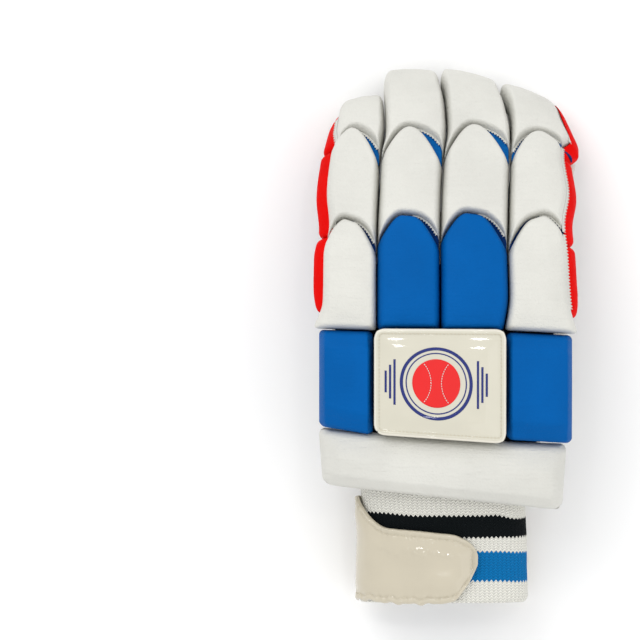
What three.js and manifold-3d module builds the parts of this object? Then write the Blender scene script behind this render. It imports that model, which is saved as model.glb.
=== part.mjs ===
// A left-hand cricket batting glove, lying palm down with its thumb folded under the palm.
// Millimetres. +Z is up, +Y runs to the fingertips and +X to the index finger's side.
// The knuckle line is y = 0 while the pieces are made; the finished glove is centred over its own footprint.

import * as THREE from 'three';
import { mergeVertices } from 'three/addons/utils/BufferGeometryUtils.js';
import Module from 'manifold-3d';

const wasm = await Module();
wasm.setup();

// Driving dimensions of the whole glove
const padWidth = 136;          // over the padded back, little-finger edge to index edge
const fingerReach = 139;       // knuckle line to the longest padded fingertip
const rootReach = 38;          // knuckle line to where the finger stalls leave the hand
const heelReach = 78;          // knuckle line to the seam between hand and wristband
const cuffReach = 139;         // knuckle line to the wristband's open end
const backHeight = 66;         // back panel above the table at the knuckle line
const palmDepth = 28;          // back panel to palm leather, outside to outside
const stallDepth = 24;         // a finger stall at its tip, back to front
const archRadius = 260;        // side-to-side arch of the hand's back
const knuckleRadius = 200;     // bend of the back over the knuckles, seen from the side
const heelRadius = 300;        // bend of the back towards the wrist
const heelBendStart = 15;      // how far behind the knuckle line that bend starts

// Walls and clearances
const knitWall = 2;
const gussetWall = 2.4;
const leatherWall = 1.4;
const seamGap = 0.4;           // between pieces sewn face to face
const grooveGap = 1.0;         // open groove between neighbouring rolls
const stitchGap = 0.8;         // between a roll and the one it nests into

// Foam rolls of the back
const fingerRollDepth = 15;
const tipRollDepth = 13;
const tipRollFrontDepth = 10;
const tipRollEndDepth = 4;
const tipNarrowing = 0.36;     // share of its width that a fingertip roll loses as it turns under
const knucklePadDepth = 19;
const knucklePadCorner = 3;
const knucklePadSkirt = 7;
const centrePadSkirt = 12;
const wristRollDepth = 16;
const wristRollCorner = 5;
const wristRollSkirt = 5;
const tipRollSkirt = 3;
const rollSkirt = 4;           // height of a roll's upright side before it rounds over
const rollBevel = 8;           // width of the rounded margin round a roll's top
const rollWrap = 5;            // how far a finger roll's sides reach down over the stall

// Side protection
const stripBulge = 4.5;
const stripRise = 6;
const stripDrop = 10;
const sidePadDepth = 8;
const sidePadReach = 0.74;     // share of the hand's or stall's depth that the side pads cover

// Thumb
const thumbWidth = 42;
const thumbHeight = 19;
const thumbTipLength = 15;
const thumbPadDepth = 10.5;
const thumbPadBevel = 9;
const thumbPadSkirt = 3;
const finReach = 9;
const finThickness = 3;

// Wristband and strap
const cuffWidth = 88;
const cuffDepth = 43;
const cuffBackHeight = 46.4;   // top of the wristband above the table at its open end
const cuffWall = 2.4;
const strapThickness = 2;
const pipingRadius = 1.2;      // cord sewn into both edges of the wrist slit

const whiteSkin = { color: 0xeeede8, roughness: 0.5 };
const blueSkin = { color: 0x0a5fae, roughness: 0.45 };
const redSkin = { color: 0xd81410, roughness: 0.45 };
const knit = { color: 0xefeee9, roughness: 0.95 };
const leather = { color: 0xe9e7e1, roughness: 0.6 };
const gloss = { color: 0xe6e0d4, roughness: 0.15 };
const mesh = { color: 0xe9e8e3, roughness: 0.9 };

// The four fingers, little finger first. Reaches are shares of fingerReach: tip is the padded fingertip, and
// each joint gives the feet and the crown of the arch between two rolls. tuck is how far the front edge of
// the fingertip falls back across its width, and lift holds the stall's tip clear of the table.
const FINGERS = [
  {
    name: 'little', tip: 0.9, tuck: 0.16, lift: 3,
    outer: { left: 0.7, right: 0.632, crown: 0.76 }, inner: { left: 0.363, right: 0.302, crown: 0.423 },
    rear: { left: 0.037, right: 0.03 },
  },
  {
    name: 'ring', tip: 1.0, tuck: 0, lift: 2.4,
    outer: { left: 0.662, right: 0.632, crown: 0.767 }, inner: { left: 0.344, right: 0.322, crown: 0.443 },
    rear: { left: 0.034, right: 0.034 },
  },
  {
    name: 'middle', tip: 1.0, tuck: -0.22, lift: 2.4,
    outer: { left: 0.662, right: 0.64, crown: 0.776 }, inner: { left: 0.352, right: 0.314, crown: 0.449 },
    rear: { left: 0.03, right: 0.03 },
  },
  {
    name: 'index', tip: 0.93, tuck: -0.36, lift: 3.4,
    outer: { left: 0.647, right: 0.714, crown: 0.757 }, inner: { left: 0.311, right: 0.378, crown: 0.436 },
    rear: { left: 0.03, right: 0.016 },
  },
];

// Grooves between the rolls. at is a share of fingerReach; the grooves are shares of half the padWidth, from
// the little finger's outer edge (g0) to the index finger's (g4).
const GROOVES = [
  { at: 0.02, g0: -0.975, g1: -0.53, g2: -0.046, g3: 0.44, g4: 0.985 },
  { at: 0.15, g0: -0.945, g1: -0.53, g2: -0.046, g3: 0.478, g4: 0.945 },
  { at: 0.3, g0: -0.94, g1: -0.528, g2: -0.046, g3: 0.472, g4: 0.925 },
  { at: 0.41, g0: -0.9, g1: -0.524, g2: -0.042, g3: 0.478, g4: 0.905 },
  { at: 0.52, g0: -0.918, g1: -0.512, g2: -0.034, g3: 0.485, g4: 0.94 },
  { at: 0.66, g0: -0.89, g1: -0.495, g2: -0.012, g3: 0.498, g4: 0.905 },
  { at: 0.76, g0: -0.85, g1: -0.462, g2: 0.012, g3: 0.506, g4: 0.91 },
  { at: 0.86, g0: -0.82, g1: -0.465, g2: 0.0, g3: 0.475, g4: 0.87 },
  { at: 0.95, g0: -0.78, g1: -0.474, g2: -0.035, g3: 0.42, g4: 0.82 },
];

// Cross-sections of the hand. at is a share of heelReach; the edges are shares of half the padWidth, depth is
// a share of palmDepth, and square is the roundness exponent of the section, where 2 is an ellipse.
const HAND = [
  { at: 0.49, backLeft: -0.93, backRight: 0.91, palmLeft: -0.75, palmRight: 0.73, depth: 1.0, square: 5.5 },
  { at: 0.15, backLeft: -0.93, backRight: 0.92, palmLeft: -0.73, palmRight: 0.71, depth: 1.02, square: 4.4 },
  { at: -0.2, backLeft: -0.93, backRight: 0.9, palmLeft: -0.71, palmRight: 0.7, depth: 1.02, square: 4.2 },
  { at: -0.55, backLeft: -0.9, backRight: 0.84, palmLeft: -0.7, palmRight: 0.67, depth: 1.03, square: 4 },
  { at: -0.8, backLeft: -0.8, backRight: 0.74, palmLeft: -0.67, palmRight: 0.63, depth: 1.06, square: 3.4 },
  { at: -1.0, backLeft: -0.67, backRight: 0.62, palmLeft: -0.64, palmRight: 0.6, depth: 1.1, square: 2.8 },
];

// Cross-sections of the wristband. at runs from 0 at the heel seam to 1 at the open end, and the rest are
// shares of cuffWidth, cuffDepth and cuffBackHeight.
const CUFF = [
  { at: 0, width: 0.98, depth: 0.72, top: 1.23, square: 2.7 },
  { at: 0.35, width: 0.97, depth: 0.84, top: 1.15, square: 2.7 },
  { at: 0.7, width: 0.98, depth: 0.95, top: 1.05, square: 2.6 },
  { at: 1, width: 1.0, depth: 1.0, top: 1.0, square: 2.6 },
];

// The thumb's centre line, from inside the hand down to the tip. across is a share of half the padWidth, along
// a share of fingerReach and height a share of the room between the table and the palm.
const THUMB_LINE = [
  { across: 0.38, along: -0.44, height: 1.12 },
  { across: 0.3, along: -0.33, height: 0.82 },
  { across: 0.14, along: -0.18, height: 0.6 },
  { across: -0.03, along: 0.0, height: 0.55 },
  { across: -0.14, along: 0.19, height: 0.52 },
  { across: -0.18, along: 0.375, height: 0.47 },
];

const clamp = (value, low, high) => Math.min(high, Math.max(low, value));
const lerp = (a, b, t) => a + (b - a) * t;
const smooth = (t) => clamp(t, 0, 1) ** 2 * (3 - 2 * clamp(t, 0, 1));
const signedPower = (value, power) => Math.sign(value) * Math.abs(value) ** power;
const radians = (degrees) => (degrees * Math.PI) / 180;
const steps = (count) => Array.from({ length: count + 1 }, (_, i) => i / count);

// Stations from 0 to 1 that crowd towards both ends, where the rolls round over. The even ones suit pads that
// also bend round a fingertip or the thumb.
const MARGIN_STEPS = [0, 0.06, 0.18, 0.37, 0.63, 0.82, 0.94, 1];
const EVEN_STEPS = [0, 0.07, 0.2, 0.33, 0.46, 0.59, 0.71, 0.83, 0.94, 1];
const PAD_STEPS = [0, 0.08, 0.24, 0.41, 0.59, 0.76, 0.92, 1];

// A named column of a table at any station: straight between rows, and level past its ends.
function column(rows, name, at) {
  const sorted = [...rows].sort((p, q) => p.at - q.at);
  if (at <= sorted[0].at) return sorted[0][name];
  const next = sorted.findIndex((row) => row.at >= at);
  if (next < 0) return sorted[sorted.length - 1][name];
  const [before, after] = [sorted[next - 1], sorted[next]];
  return lerp(before[name], after[name], (at - before.at) / (after.at - before.at));
}

// Height lost to the side-to-side arch of the hand.
const archDrop = (x) => (x * x) / (2 * archRadius);

const groove = (index, y) => column(GROOVES, `g${index}`, y / fingerReach) * (padWidth / 2);

// A point that moves along a circular bend: start is {y, z, pitch}, and pitch is how far the line dips.
function bend(start, radius, length) {
  const turn = length / radius;
  const pitch = start.pitch + turn;
  return {
    y: start.y + radius * (Math.sin(pitch) - Math.sin(start.pitch)),
    z: start.z - radius * (Math.cos(start.pitch) - Math.cos(pitch)),
    pitch,
  };
}

const KNUCKLE = { y: 0, z: backHeight, pitch: 0 };
const ROOT = bend(KNUCKLE, knuckleRadius, rootReach);

// The line down the middle of a finger's back seen from the side: over the knuckles, then one steeper bend
// that lands the round fingertip on the table, then the fingertip itself. s is the distance along it.
function backLine(finger, index) {
  const outerEdge = groove(index, finger.tip * fingerReach);
  const innerEdge = groove(index + 1, finger.tip * fingerReach);
  const x = (outerEdge + innerEdge) / 2;
  const radius = stallDepth / 2;
  const dome = {
    y: finger.tip * fingerReach - radius - tipRollFrontDepth,
    z: radius + finger.lift + archDrop(x),
  };
  const forward = { y: Math.cos(ROOT.pitch), z: -Math.sin(ROOT.pitch) };
  const down = { y: -Math.sin(ROOT.pitch), z: -Math.cos(ROOT.pitch) };
  const reach = (dome.y - ROOT.y) * forward.y + (dome.z - ROOT.z) * forward.z;
  const fall = (dome.y - ROOT.y) * down.y + (dome.z - ROOT.z) * down.z - radius;
  const inner = (reach ** 2 + fall ** 2) / (2 * fall);
  const fingerRadius = inner + radius;
  const turn = Math.atan2(reach, inner - fall);
  const domeStart = rootReach + fingerRadius * turn;
  const end = bend(ROOT, fingerRadius, fingerRadius * turn);
  return {
    x, radius, dome, domeStart, fingerRadius, tuck: finger.tuck, endPitch: end.pitch,
    at(s) {
      if (s < -heelBendStart) return bend({ ...KNUCKLE, y: -heelBendStart }, heelRadius, s + heelBendStart);
      if (s < 0) return { y: s, z: backHeight, pitch: 0 };
      if (s < rootReach) return bend(KNUCKLE, knuckleRadius, s);
      if (s < domeStart) return bend(ROOT, fingerRadius, s - rootReach);
      return bend(end, radius, s - domeStart);
    },
    // The distance along the back at which a mark seen from above at y lies, at height n over the back.
    alongAt(y, n) {
      let low = -2 * heelReach;
      let high = domeStart + radius;
      for (let i = 0; i < 40; i += 1) {
        const middle = (low + high) / 2;
        const { y: reached, pitch } = this.at(middle);
        if (reached + n * Math.sin(pitch) < y) low = middle;
        else high = middle;
      }
      return low;
    },
  };
}

const LINES = FINGERS.map(backLine);
const HAND_LINE = LINES[2];

// A point over the glove's back: x across, s along the back line, n above it.
function place(line, x, s, n) {
  const { y, z, pitch } = line.at(s);
  const tuckShare = smooth((s - line.domeStart * 0.72) / (line.domeStart * 0.28));
  return new THREE.Vector3(
    x,
    y + n * Math.sin(pitch) + line.tuck * tuckShare * (x - line.x),
    z + n * Math.cos(pitch) - archDrop(x),
  );
}

// A triangle list that becomes a closed solid with its faces pointing out.
class Skin {
  constructor() {
    this.corners = [];
  }

  triangle(a, b, c) {
    this.corners.push(a, b, c);
  }

  quad(a, b, c, d) {
    this.triangle(a, b, c);
    this.triangle(a, c, d);
  }

  grid(rows, flip = false) {
    for (let i = 0; i + 1 < rows.length; i += 1) {
      for (let j = 0; j + 1 < rows[i].length; j += 1) {
        const ring = [rows[i][j], rows[i + 1][j], rows[i + 1][j + 1], rows[i][j + 1]];
        this.quad(...(flip ? ring.reverse() : ring));
      }
    }
  }

  geometry() {
    const positions = new Float32Array(this.corners.flatMap((p) => [p.x, p.y, p.z]));
    let volume = 0;
    for (let i = 0; i < this.corners.length; i += 3) {
      const [a, b, c] = this.corners.slice(i, i + 3);
      volume += a.dot(new THREE.Vector3().crossVectors(b, c));
    }
    if (volume < 0) {
      for (let i = 0; i < positions.length; i += 9) {
        for (let k = 0; k < 3; k += 1) {
          [positions[i + 3 + k], positions[i + 6 + k]] = [positions[i + 6 + k], positions[i + 3 + k]];
        }
      }
    }
    return new THREE.BufferGeometry().setAttribute('position', new THREE.BufferAttribute(positions, 3));
  }
}

// A slab between two grids of points with the same numbers of rows and columns.
function slab(outer, inner) {
  const skin = new Skin();
  skin.grid(outer);
  skin.grid(inner, true);
  const last = outer.length - 1;
  const end = outer[0].length - 1;
  skin.grid([inner[0], outer[0]]);
  skin.grid([outer[last], inner[last]]);
  skin.grid([outer.map((row) => row[0]), inner.map((row) => row[0])]);
  skin.grid([inner.map((row) => row[end]), outer.map((row) => row[end])]);
  return skin.geometry();
}

// A stall open at its first ring and closed by a point at its tip. Each ring is a closed loop.
function thimble(outerRings, outerTip, innerRings, innerTip) {
  const skin = new Skin();
  const closed = (ring) => [...ring, ring[0]];
  const fan = (ring, tip, flip) => {
    const loop = closed(ring);
    for (let i = 0; i + 1 < loop.length; i += 1) {
      if (flip) skin.triangle(loop[i + 1], loop[i], tip);
      else skin.triangle(loop[i], loop[i + 1], tip);
    }
  };
  skin.grid(outerRings.map(closed), true);
  skin.grid(innerRings.map(closed));
  skin.grid([closed(outerRings[0]), closed(innerRings[0])]);
  fan(outerRings[outerRings.length - 1], outerTip, false);
  fan(innerRings[innerRings.length - 1], innerTip, true);
  return skin.geometry();
}

// A solid for manifold-3d from a closed geometry, and back.
function solidOf(geometry) {
  const bare = geometry.clone();
  bare.deleteAttribute('normal');
  bare.deleteAttribute('uv');
  const merged = mergeVertices(bare, 1e-4);
  return new wasm.Manifold(new wasm.Mesh({
    numProp: 3,
    vertProperties: merged.attributes.position.array,
    triVerts: new Uint32Array(merged.index.array),
  }));
}

function geometryOf(solid) {
  const { vertProperties, triVerts } = solid.getMesh();
  const geometry = new THREE.BufferGeometry();
  geometry.setAttribute('position', new THREE.BufferAttribute(new Float32Array(vertProperties), 3));
  geometry.setIndex(new THREE.BufferAttribute(new Uint32Array(triVerts), 1));
  return geometry;
}

// A soft piece pressed flat where it meets the table.
const pressedFlat = (geometry) => geometryOf(solidOf(geometry).trimByPlane([0, 0, 1], 0));

// Share of a pad's full height at a distance from its outline: a rounded shoulder of the given width.
function shoulder(distance, width) {
  const inward = 1 - clamp(distance / width, 0, 1);
  return (1 - inward ** 2.4) ** (1 / 2.4);
}

function distanceToOutline(point, outline) {
  let nearest = Infinity;
  outline.forEach((a, i) => {
    const b = outline[(i + 1) % outline.length];
    const along = [b[0] - a[0], b[1] - a[1]];
    const length = along[0] ** 2 + along[1] ** 2 || 1;
    const t = clamp(((point[0] - a[0]) * along[0] + (point[1] - a[1]) * along[1]) / length, 0, 1);
    nearest = Math.min(nearest, Math.hypot(point[0] - a[0] - t * along[0], point[1] - a[1] - t * along[1]));
  });
  return nearest;
}

// Point inside four edges: rear and front run left to right, left and right run rear to front.
function patchPoint({ rear, front, left, right }, a, b) {
  const blend = (axis) => (1 - b) * rear(a)[axis] + b * front(a)[axis]
    + (1 - a) * left(b)[axis] + a * right(b)[axis]
    - (1 - a) * (1 - b) * rear(0)[axis] - a * (1 - b) * rear(1)[axis]
    - (1 - a) * b * front(0)[axis] - a * b * front(1)[axis];
  return [blend(0), blend(1)];
}

// A foam roll over the back, inside four edges given in x and s.
function roll(line, edges, depthAt, undersideAt = () => seamGap, skirt = rollSkirt, along = MARGIN_STEPS) {
  const marks = steps(10);
  const outline = [
    ...marks.map((t) => edges.rear(t)), ...marks.map((t) => edges.right(t)),
    ...marks.map((t) => edges.front(1 - t)), ...marks.map((t) => edges.left(1 - t)),
  ];
  const points = MARGIN_STEPS.map((a) => along.map((b) => (
    edges.fill ? edges.fill(a, b) : patchPoint(edges, a, b))));
  const top = points.map((row) => row.map(([x, s]) => {
    const rise = shoulder(distanceToOutline([x, s], outline), rollBevel);
    return place(line, x, s, skirt + (depthAt(x, s) - skirt) * rise);
  }));
  const under = points.map((row) => row.map(([x, s]) => place(line, x, s, undersideAt(x, s))));
  return slab(top, under);
}

const straight = (from, to) => (t) => [lerp(from[0], to[0], t), lerp(from[1], to[1], t)];

// Four edges of a block with rounded corners; rear and front are its straight ends as functions of x.
function roundedEdges(left, right, rear, front, corner) {
  const inset = corner * (1 - Math.SQRT1_2);
  const pull = (toSide) => (toSide < corner ? corner - Math.sqrt(corner ** 2 - (corner - toSide) ** 2) : 0);
  const across = (t) => lerp(left + inset, right - inset, t);
  const endwise = (edge, toward) => (t) => {
    const x = across(t);
    return [x, edge(x) + toward * pull(Math.min(x - left, right - x))];
  };
  const sidewise = (x, toward) => (t) => {
    const s = lerp(rear(x) + inset, front(x) - inset, t);
    return [x + toward * pull(Math.min(s - rear(x), front(x) - s)), s];
  };
  return {
    rear: endwise(rear, 1), front: endwise(front, -1), left: sidewise(left, 1), right: sidewise(right, -1),
  };
}

// The bell-shaped edge where one roll nests into the next: feet at both ends and a round crown.
function bell(leftFoot, rightFoot, crown) {
  const rise = crown - (leftFoot[1] + rightFoot[1]) / 2;
  return (t) => [
    lerp(leftFoot[0], rightFoot[0], t),
    lerp(leftFoot[1], rightFoot[1], t) + rise * Math.sin(Math.PI * t) ** 0.85,
  ];
}

// The widths of a finger's stall at s: edges at the back, and how far the palm side is narrowed.
function stallSpan(index, s) {
  const line = LINES[index];
  const y = line.at(Math.min(s, line.domeStart)).y;
  const clear = grooveGap / 2 + seamGap;
  const left = groove(index, y) + clear;
  const right = groove(index + 1, y) - clear;
  const out = smooth((s - rootReach) / (line.domeStart - rootReach));
  return {
    backCentre: (left + right) / 2,
    backHalf: (right - left) / 2,
    palmCentre: ((left + right) / 2) * lerp(0.8, 1, out),
    palmHalf: ((right - left) / 2) * lerp(0.8, 0.9, out),
    depth: lerp(palmDepth - 1, stallDepth, out),
    square: lerp(6, 2.7, smooth((s - rootReach) / 16)),
  };
}

// A point on a finger stall's skin. angle 0 faces the index side, 90 the back and 270 the palm.
function stallPoint(index, s, angle, offset) {
  const line = LINES[index];
  const span = stallSpan(index, s);
  const over = Math.max(0, s - line.domeStart) / line.radius;
  const shrink = Math.cos(over);
  const across = signedPower(Math.cos(radians(angle)), 2 / span.square);
  const up = signedPower(Math.sin(radians(angle)), 2 / span.square);
  const level = (up + 1) / 2;
  const half = lerp(span.palmHalf, span.backHalf, level);
  const x = lerp(span.palmCentre, span.backCentre, level) + across * (half + offset) * shrink;
  const { y, z, pitch } = line.at(Math.min(s, line.domeStart));
  const m = -span.depth / 2 + up * (span.depth / 2 + offset) * shrink;
  const ahead = (line.radius + offset) * Math.sin(over);
  const tuckShare = smooth((s - line.domeStart * 0.72) / (line.domeStart * 0.28));
  return new THREE.Vector3(
    x,
    y + m * Math.sin(pitch) + ahead * Math.cos(pitch) + line.tuck * tuckShare * (x - line.x),
    z + m * Math.cos(pitch) - ahead * Math.sin(pitch) - archDrop(x),
  );
}

// A point on the hand's skin, with angles as on a stall.
function handPoint(s, angle, offset) {
  const at = s / heelReach;
  const half = padWidth / 2;
  const square = column(HAND, 'square', at);
  const across = signedPower(Math.cos(radians(angle)), 2 / square);
  const up = signedPower(Math.sin(radians(angle)), 2 / square);
  const level = (up + 1) / 2;
  const left = lerp(column(HAND, 'palmLeft', at), column(HAND, 'backLeft', at), level) * half;
  const right = lerp(column(HAND, 'palmRight', at), column(HAND, 'backRight', at), level) * half;
  const depth = column(HAND, 'depth', at) * palmDepth;
  const x = (left + right) / 2 + across * ((right - left) / 2 + offset);
  const { y, z, pitch } = HAND_LINE.at(s);
  const m = -depth / 2 + up * (depth / 2 + offset);
  return new THREE.Vector3(x, y + m * Math.sin(pitch), z + m * Math.cos(pitch) - archDrop(x));
}

// A point on the wristband's skin; at runs from 0 at the heel seam to 1 at the open end.
function cuffPoint(at, angle, offset) {
  const square = column(CUFF, 'square', at);
  const half = (column(CUFF, 'width', at) * cuffWidth) / 2 + offset;
  const halfDepth = (column(CUFF, 'depth', at) * cuffDepth) / 2;
  const top = column(CUFF, 'top', at) * cuffBackHeight;
  const across = signedPower(Math.cos(radians(angle)), 2 / square);
  const up = signedPower(Math.sin(radians(angle)), 2 / square);
  const start = HAND_LINE.at(-heelReach).y - seamGap;
  return new THREE.Vector3(
    cuffCentre + across * half,
    lerp(start, -cuffReach, at),
    top - halfDepth + up * (halfDepth + offset),
  );
}
const cuffCentre = ((HAND[HAND.length - 1].palmLeft + HAND[HAND.length - 1].palmRight) / 2) * (padWidth / 2);

// The thumb's centre line and the skin round it. s beyond the line's length runs over the round tip.
const thumbRoom = backHeight - palmDepth;
const thumbCurve = new THREE.CatmullRomCurve3(THUMB_LINE.map(({ across, along, height }) => (
  new THREE.Vector3(across * (padWidth / 2), along * fingerReach, height * thumbRoom))));
const thumbLength = thumbCurve.getLength();

function thumbPoint(s, angle, offset) {
  const t = clamp(s / thumbLength, 0, 1);
  const centre = thumbCurve.getPointAt(t);
  const ahead = thumbCurve.getTangentAt(t).normalize();
  const side = new THREE.Vector3().crossVectors(ahead, new THREE.Vector3(0, 0, 1)).normalize();
  const up = new THREE.Vector3().crossVectors(side, ahead);
  const over = Math.max(0, s - thumbLength) / thumbTipLength;
  const shrink = Math.cos(over);
  const width = lerp(0.8, 1, smooth(t * 2.2)) * (thumbWidth / 2) + offset;
  const square = 2.6;
  return centre
    .addScaledVector(side, signedPower(Math.cos(radians(angle)), 2 / square) * width * shrink)
    .addScaledVector(up, signedPower(Math.sin(radians(angle)), 2 / square) * (thumbHeight / 2 + offset) * shrink)
    .addScaledVector(ahead, (thumbTipLength + offset) * Math.sin(over));
}

// A sheet lying on one of those skins, between two angles and two stations.
function sheetOn(point, stations, angles, outerOffset, innerOffset, divisions = 8) {
  const rows = (offset) => stations.map((s) => {
    const [from, to] = typeof angles === 'function' ? angles(s) : angles;
    return steps(divisions).map((t) => point(s, lerp(from, to, t), offset));
  });
  return slab(rows(outerOffset), rows(innerOffset));
}

const stations = (from, to, count) => steps(count).map((t) => lerp(from, to, t));

const glove = new THREE.Group();
glove.name = 'batting_glove';

function region(name) {
  const group = new THREE.Group();
  group.name = name;
  glove.add(group);
  return group;
}

function addPiece(group, name, geometry, finish) {
  geometry.computeVertexNormals();
  const piece = new THREE.Mesh(geometry, new THREE.MeshStandardMaterial({ metalness: 0, ...finish }));
  piece.name = name;
  group.add(piece);
}

// Stations along a stall, from its root to where its round tip starts
const stallStations = (line) => stations(rootReach + 2 * seamGap, line.domeStart, 4);

// Finger stalls: knitted thimbles, open at the root
function fingerStall(index) {
  const line = LINES[index];
  const around = steps(12).slice(0, -1).map((t) => 360 * t + 15);
  const end = line.domeStart + (line.radius * Math.PI) / 2;
  const along = [
    ...stallStations(line),
    ...stations(line.domeStart, end, 4).slice(1, -1),
  ];
  const rings = (offset) => along.map((s) => around.map((angle) => stallPoint(index, s, angle, offset)));
  return thimble(rings(0), stallPoint(index, end, 0, 0), rings(-knitWall), stallPoint(index, end, 0, -knitWall));
}

// The three rolls of one finger
function fingerRolls(index) {
  const finger = FINGERS[index];
  const line = LINES[index];
  const along = (share, n = rollSkirt) => line.alongAt(share * fingerReach, n);
  const leftX = (s) => groove(index, line.at(Math.min(s, line.domeStart)).y) + grooveGap / 2;
  const rightX = (s) => groove(index + 1, line.at(Math.min(s, line.domeStart)).y) - grooveGap / 2;
  const side = (edgeX, from, to) => (t) => [edgeX(lerp(from, to, t)), lerp(from, to, t)];
  const foot = (edgeX, s) => [edgeX(s), s];
  const joint = ({ left, right, crown }, back) => bell(
    foot(leftX, along(left) + back), foot(rightX, along(right) + back), along(crown) + back,
  );
  // The sides of a roll wrap down over the stall once it has left the hand.
  const underside = (x, s) => {
    const span = stallSpan(index, s);
    const reach = Math.abs(x - span.backCentre) / (span.backHalf + seamGap);
    const sag = (span.depth / 2) * (1 - (1 - clamp(reach, 0, 1) ** span.square) ** (1 / span.square));
    return 3 * seamGap - Math.min(rollWrap, sag) * smooth((s - rootReach - 4) / 10);
  };
  const [outerLeft, outerRight] = [along(finger.outer.left), along(finger.outer.right)];
  const [innerLeft, innerRight] = [along(finger.inner.left), along(finger.inner.right)];
  const [rearLeft, rearRight] = [along(finger.rear.left), along(finger.rear.right)];
  const evenDepth = () => fingerRollDepth;

  // The fingertip roll runs over the round tip, and thins and narrows as it turns under.
  const turnUnder = line.domeStart + line.radius * radians(112);
  const tipDepth = (x, s) => {
    const over = clamp((s - line.domeStart) / line.radius, 0, radians(112));
    const front = lerp(tipRollDepth, tipRollFrontDepth, smooth(over / radians(70)));
    return lerp(front, tipRollEndDepth, smooth((over - radians(70)) / radians(42)));
  };
  const tipRear = joint(finger.outer, stitchGap);
  const tipPoint = (a, b) => {
    const s = lerp(tipRear(a)[1], turnUnder, b);
    const narrowed = 1 - tipNarrowing * smooth((s - line.domeStart) / (line.radius * radians(100)));
    const middle = (leftX(s) + rightX(s)) / 2;
    const x = lerp(middle, lerp(leftX(s), rightX(s), a), narrowed);
    return [lerp(tipRear(a)[0], x, smooth(b * 2.5)), s];
  };
  const tipUnderside = (x, s) => {
    const over = smooth((s - line.domeStart) / (line.radius * radians(30)));
    return lerp(underside(x, Math.min(s, line.domeStart)), seamGap + 0.6, over);
  };
  const tip = roll(line, {
    rear: tipRear,
    front: (t) => tipPoint(t, 1),
    left: (t) => tipPoint(0, t),
    right: (t) => tipPoint(1, t),
    fill: tipPoint,
  }, tipDepth, tipUnderside, tipRollSkirt, EVEN_STEPS);
  const middle = roll(line, {
    rear: joint(finger.inner, stitchGap),
    front: joint(finger.outer, 0),
    left: side(leftX, innerLeft + stitchGap, outerLeft),
    right: side(rightX, innerRight + stitchGap, outerRight),
  }, evenDepth, underside);
  const base = roll(line, {
    rear: straight(foot(leftX, rearLeft), foot(rightX, rearRight)),
    front: joint(finger.inner, 0),
    left: side(leftX, rearLeft, innerLeft),
    right: side(rightX, rearRight, innerRight),
  }, evenDepth, underside);
  return { tip, middle, base };
}

// Leather under a finger: the long palm strip, and the cap that closes the fingertip
function palmStrip(index) {
  const line = LINES[index];
  const [start, ...rest] = stallStations(line);
  const reach = lerp(rootReach, line.domeStart, 0.8);
  return sheetOn(
    (s, angle, offset) => stallPoint(index, s, angle, offset),
    [start + 2 * seamGap, ...rest.slice(0, 3), reach], [223, 317], 1.6 * seamGap + leatherWall, 1.6 * seamGap, 6,
  );
}

function tipCap(index) {
  const line = LINES[index];
  const from = line.domeStart - line.radius * 0.35;
  const to = line.domeStart + line.radius * radians(52);
  return sheetOn(
    (s, angle, offset) => stallPoint(index, s, angle, offset),
    stations(from, to, 4), [205, 335], 1.6 * seamGap + leatherWall, 1.6 * seamGap, 6,
  );
}

const fingers = region('fingers');
const rolls = region('rolls');
FINGERS.forEach(({ name }, index) => {
  addPiece(fingers, `${name}_stall`, fingerStall(index), knit);
  addPiece(fingers, `${name}_palm_strip`, palmStrip(index), leather);
  addPiece(fingers, `${name}_tip_cap`, tipCap(index), leather);
  const { tip, middle, base } = fingerRolls(index);
  const inner = name === 'ring' || name === 'middle';
  addPiece(rolls, `${name}_tip_roll`, tip, whiteSkin);
  addPiece(rolls, `${name}_middle_roll`, middle, whiteSkin);
  addPiece(rolls, `${name}_base_roll`, base, inner ? blueSkin : whiteSkin);
});

// Red strips that close the outer sides of the little and index fingers, one beside each roll
function sideStrip(index, outward, from, to) {
  const line = LINES[index];
  const edge = outward < 0 ? index : index + 1;
  const grooveX = (s) => groove(edge, line.at(Math.min(s, line.domeStart)).y) + outward * seamGap * 0.5;
  const levels = steps(3);
  const along = steps(7);
  const face = (bulge) => along.map((a) => levels.map((b) => {
    const s = lerp(from, to, a);
    const n = lerp(-stripDrop, stripRise, b);
    const round = Math.sin(Math.PI * clamp(a, 0.04, 0.96)) ** 0.45 * Math.sin(Math.PI * clamp(b, 0.1, 0.9)) ** 0.5;
    return place(line, grooveX(s) + outward * (bulge * round), s, n);
  }));
  return slab(face(stripBulge), face(0));
}

// How far out the index finger's side lies, s along the back line and n above it
function indexSideX(s, n) {
  const onHand = s < rootReach;
  const span = stallSpan(3, Math.max(s, rootReach));
  const at = s / heelReach;
  const half = padWidth / 2;
  const depth = onHand ? column(HAND, 'depth', at) * palmDepth : span.depth;
  const square = onHand ? column(HAND, 'square', at) : span.square;
  const up = clamp(1 + (2 * n) / depth, -1, 1);
  const level = (up + 1) / 2;
  const edge = (name) => lerp(column(HAND, `palm${name}`, at), column(HAND, `back${name}`, at), level) * half;
  const [left, right] = onHand ? [edge('Left'), edge('Right')] : [
    lerp(span.palmCentre - span.palmHalf, span.backCentre - span.backHalf, level),
    lerp(span.palmCentre + span.palmHalf, span.backCentre + span.backHalf, level),
  ];
  const across = (1 - Math.abs(up) ** square) ** (1 / square);
  return (left + right) / 2 + across * ((right - left) / 2);
}

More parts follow.
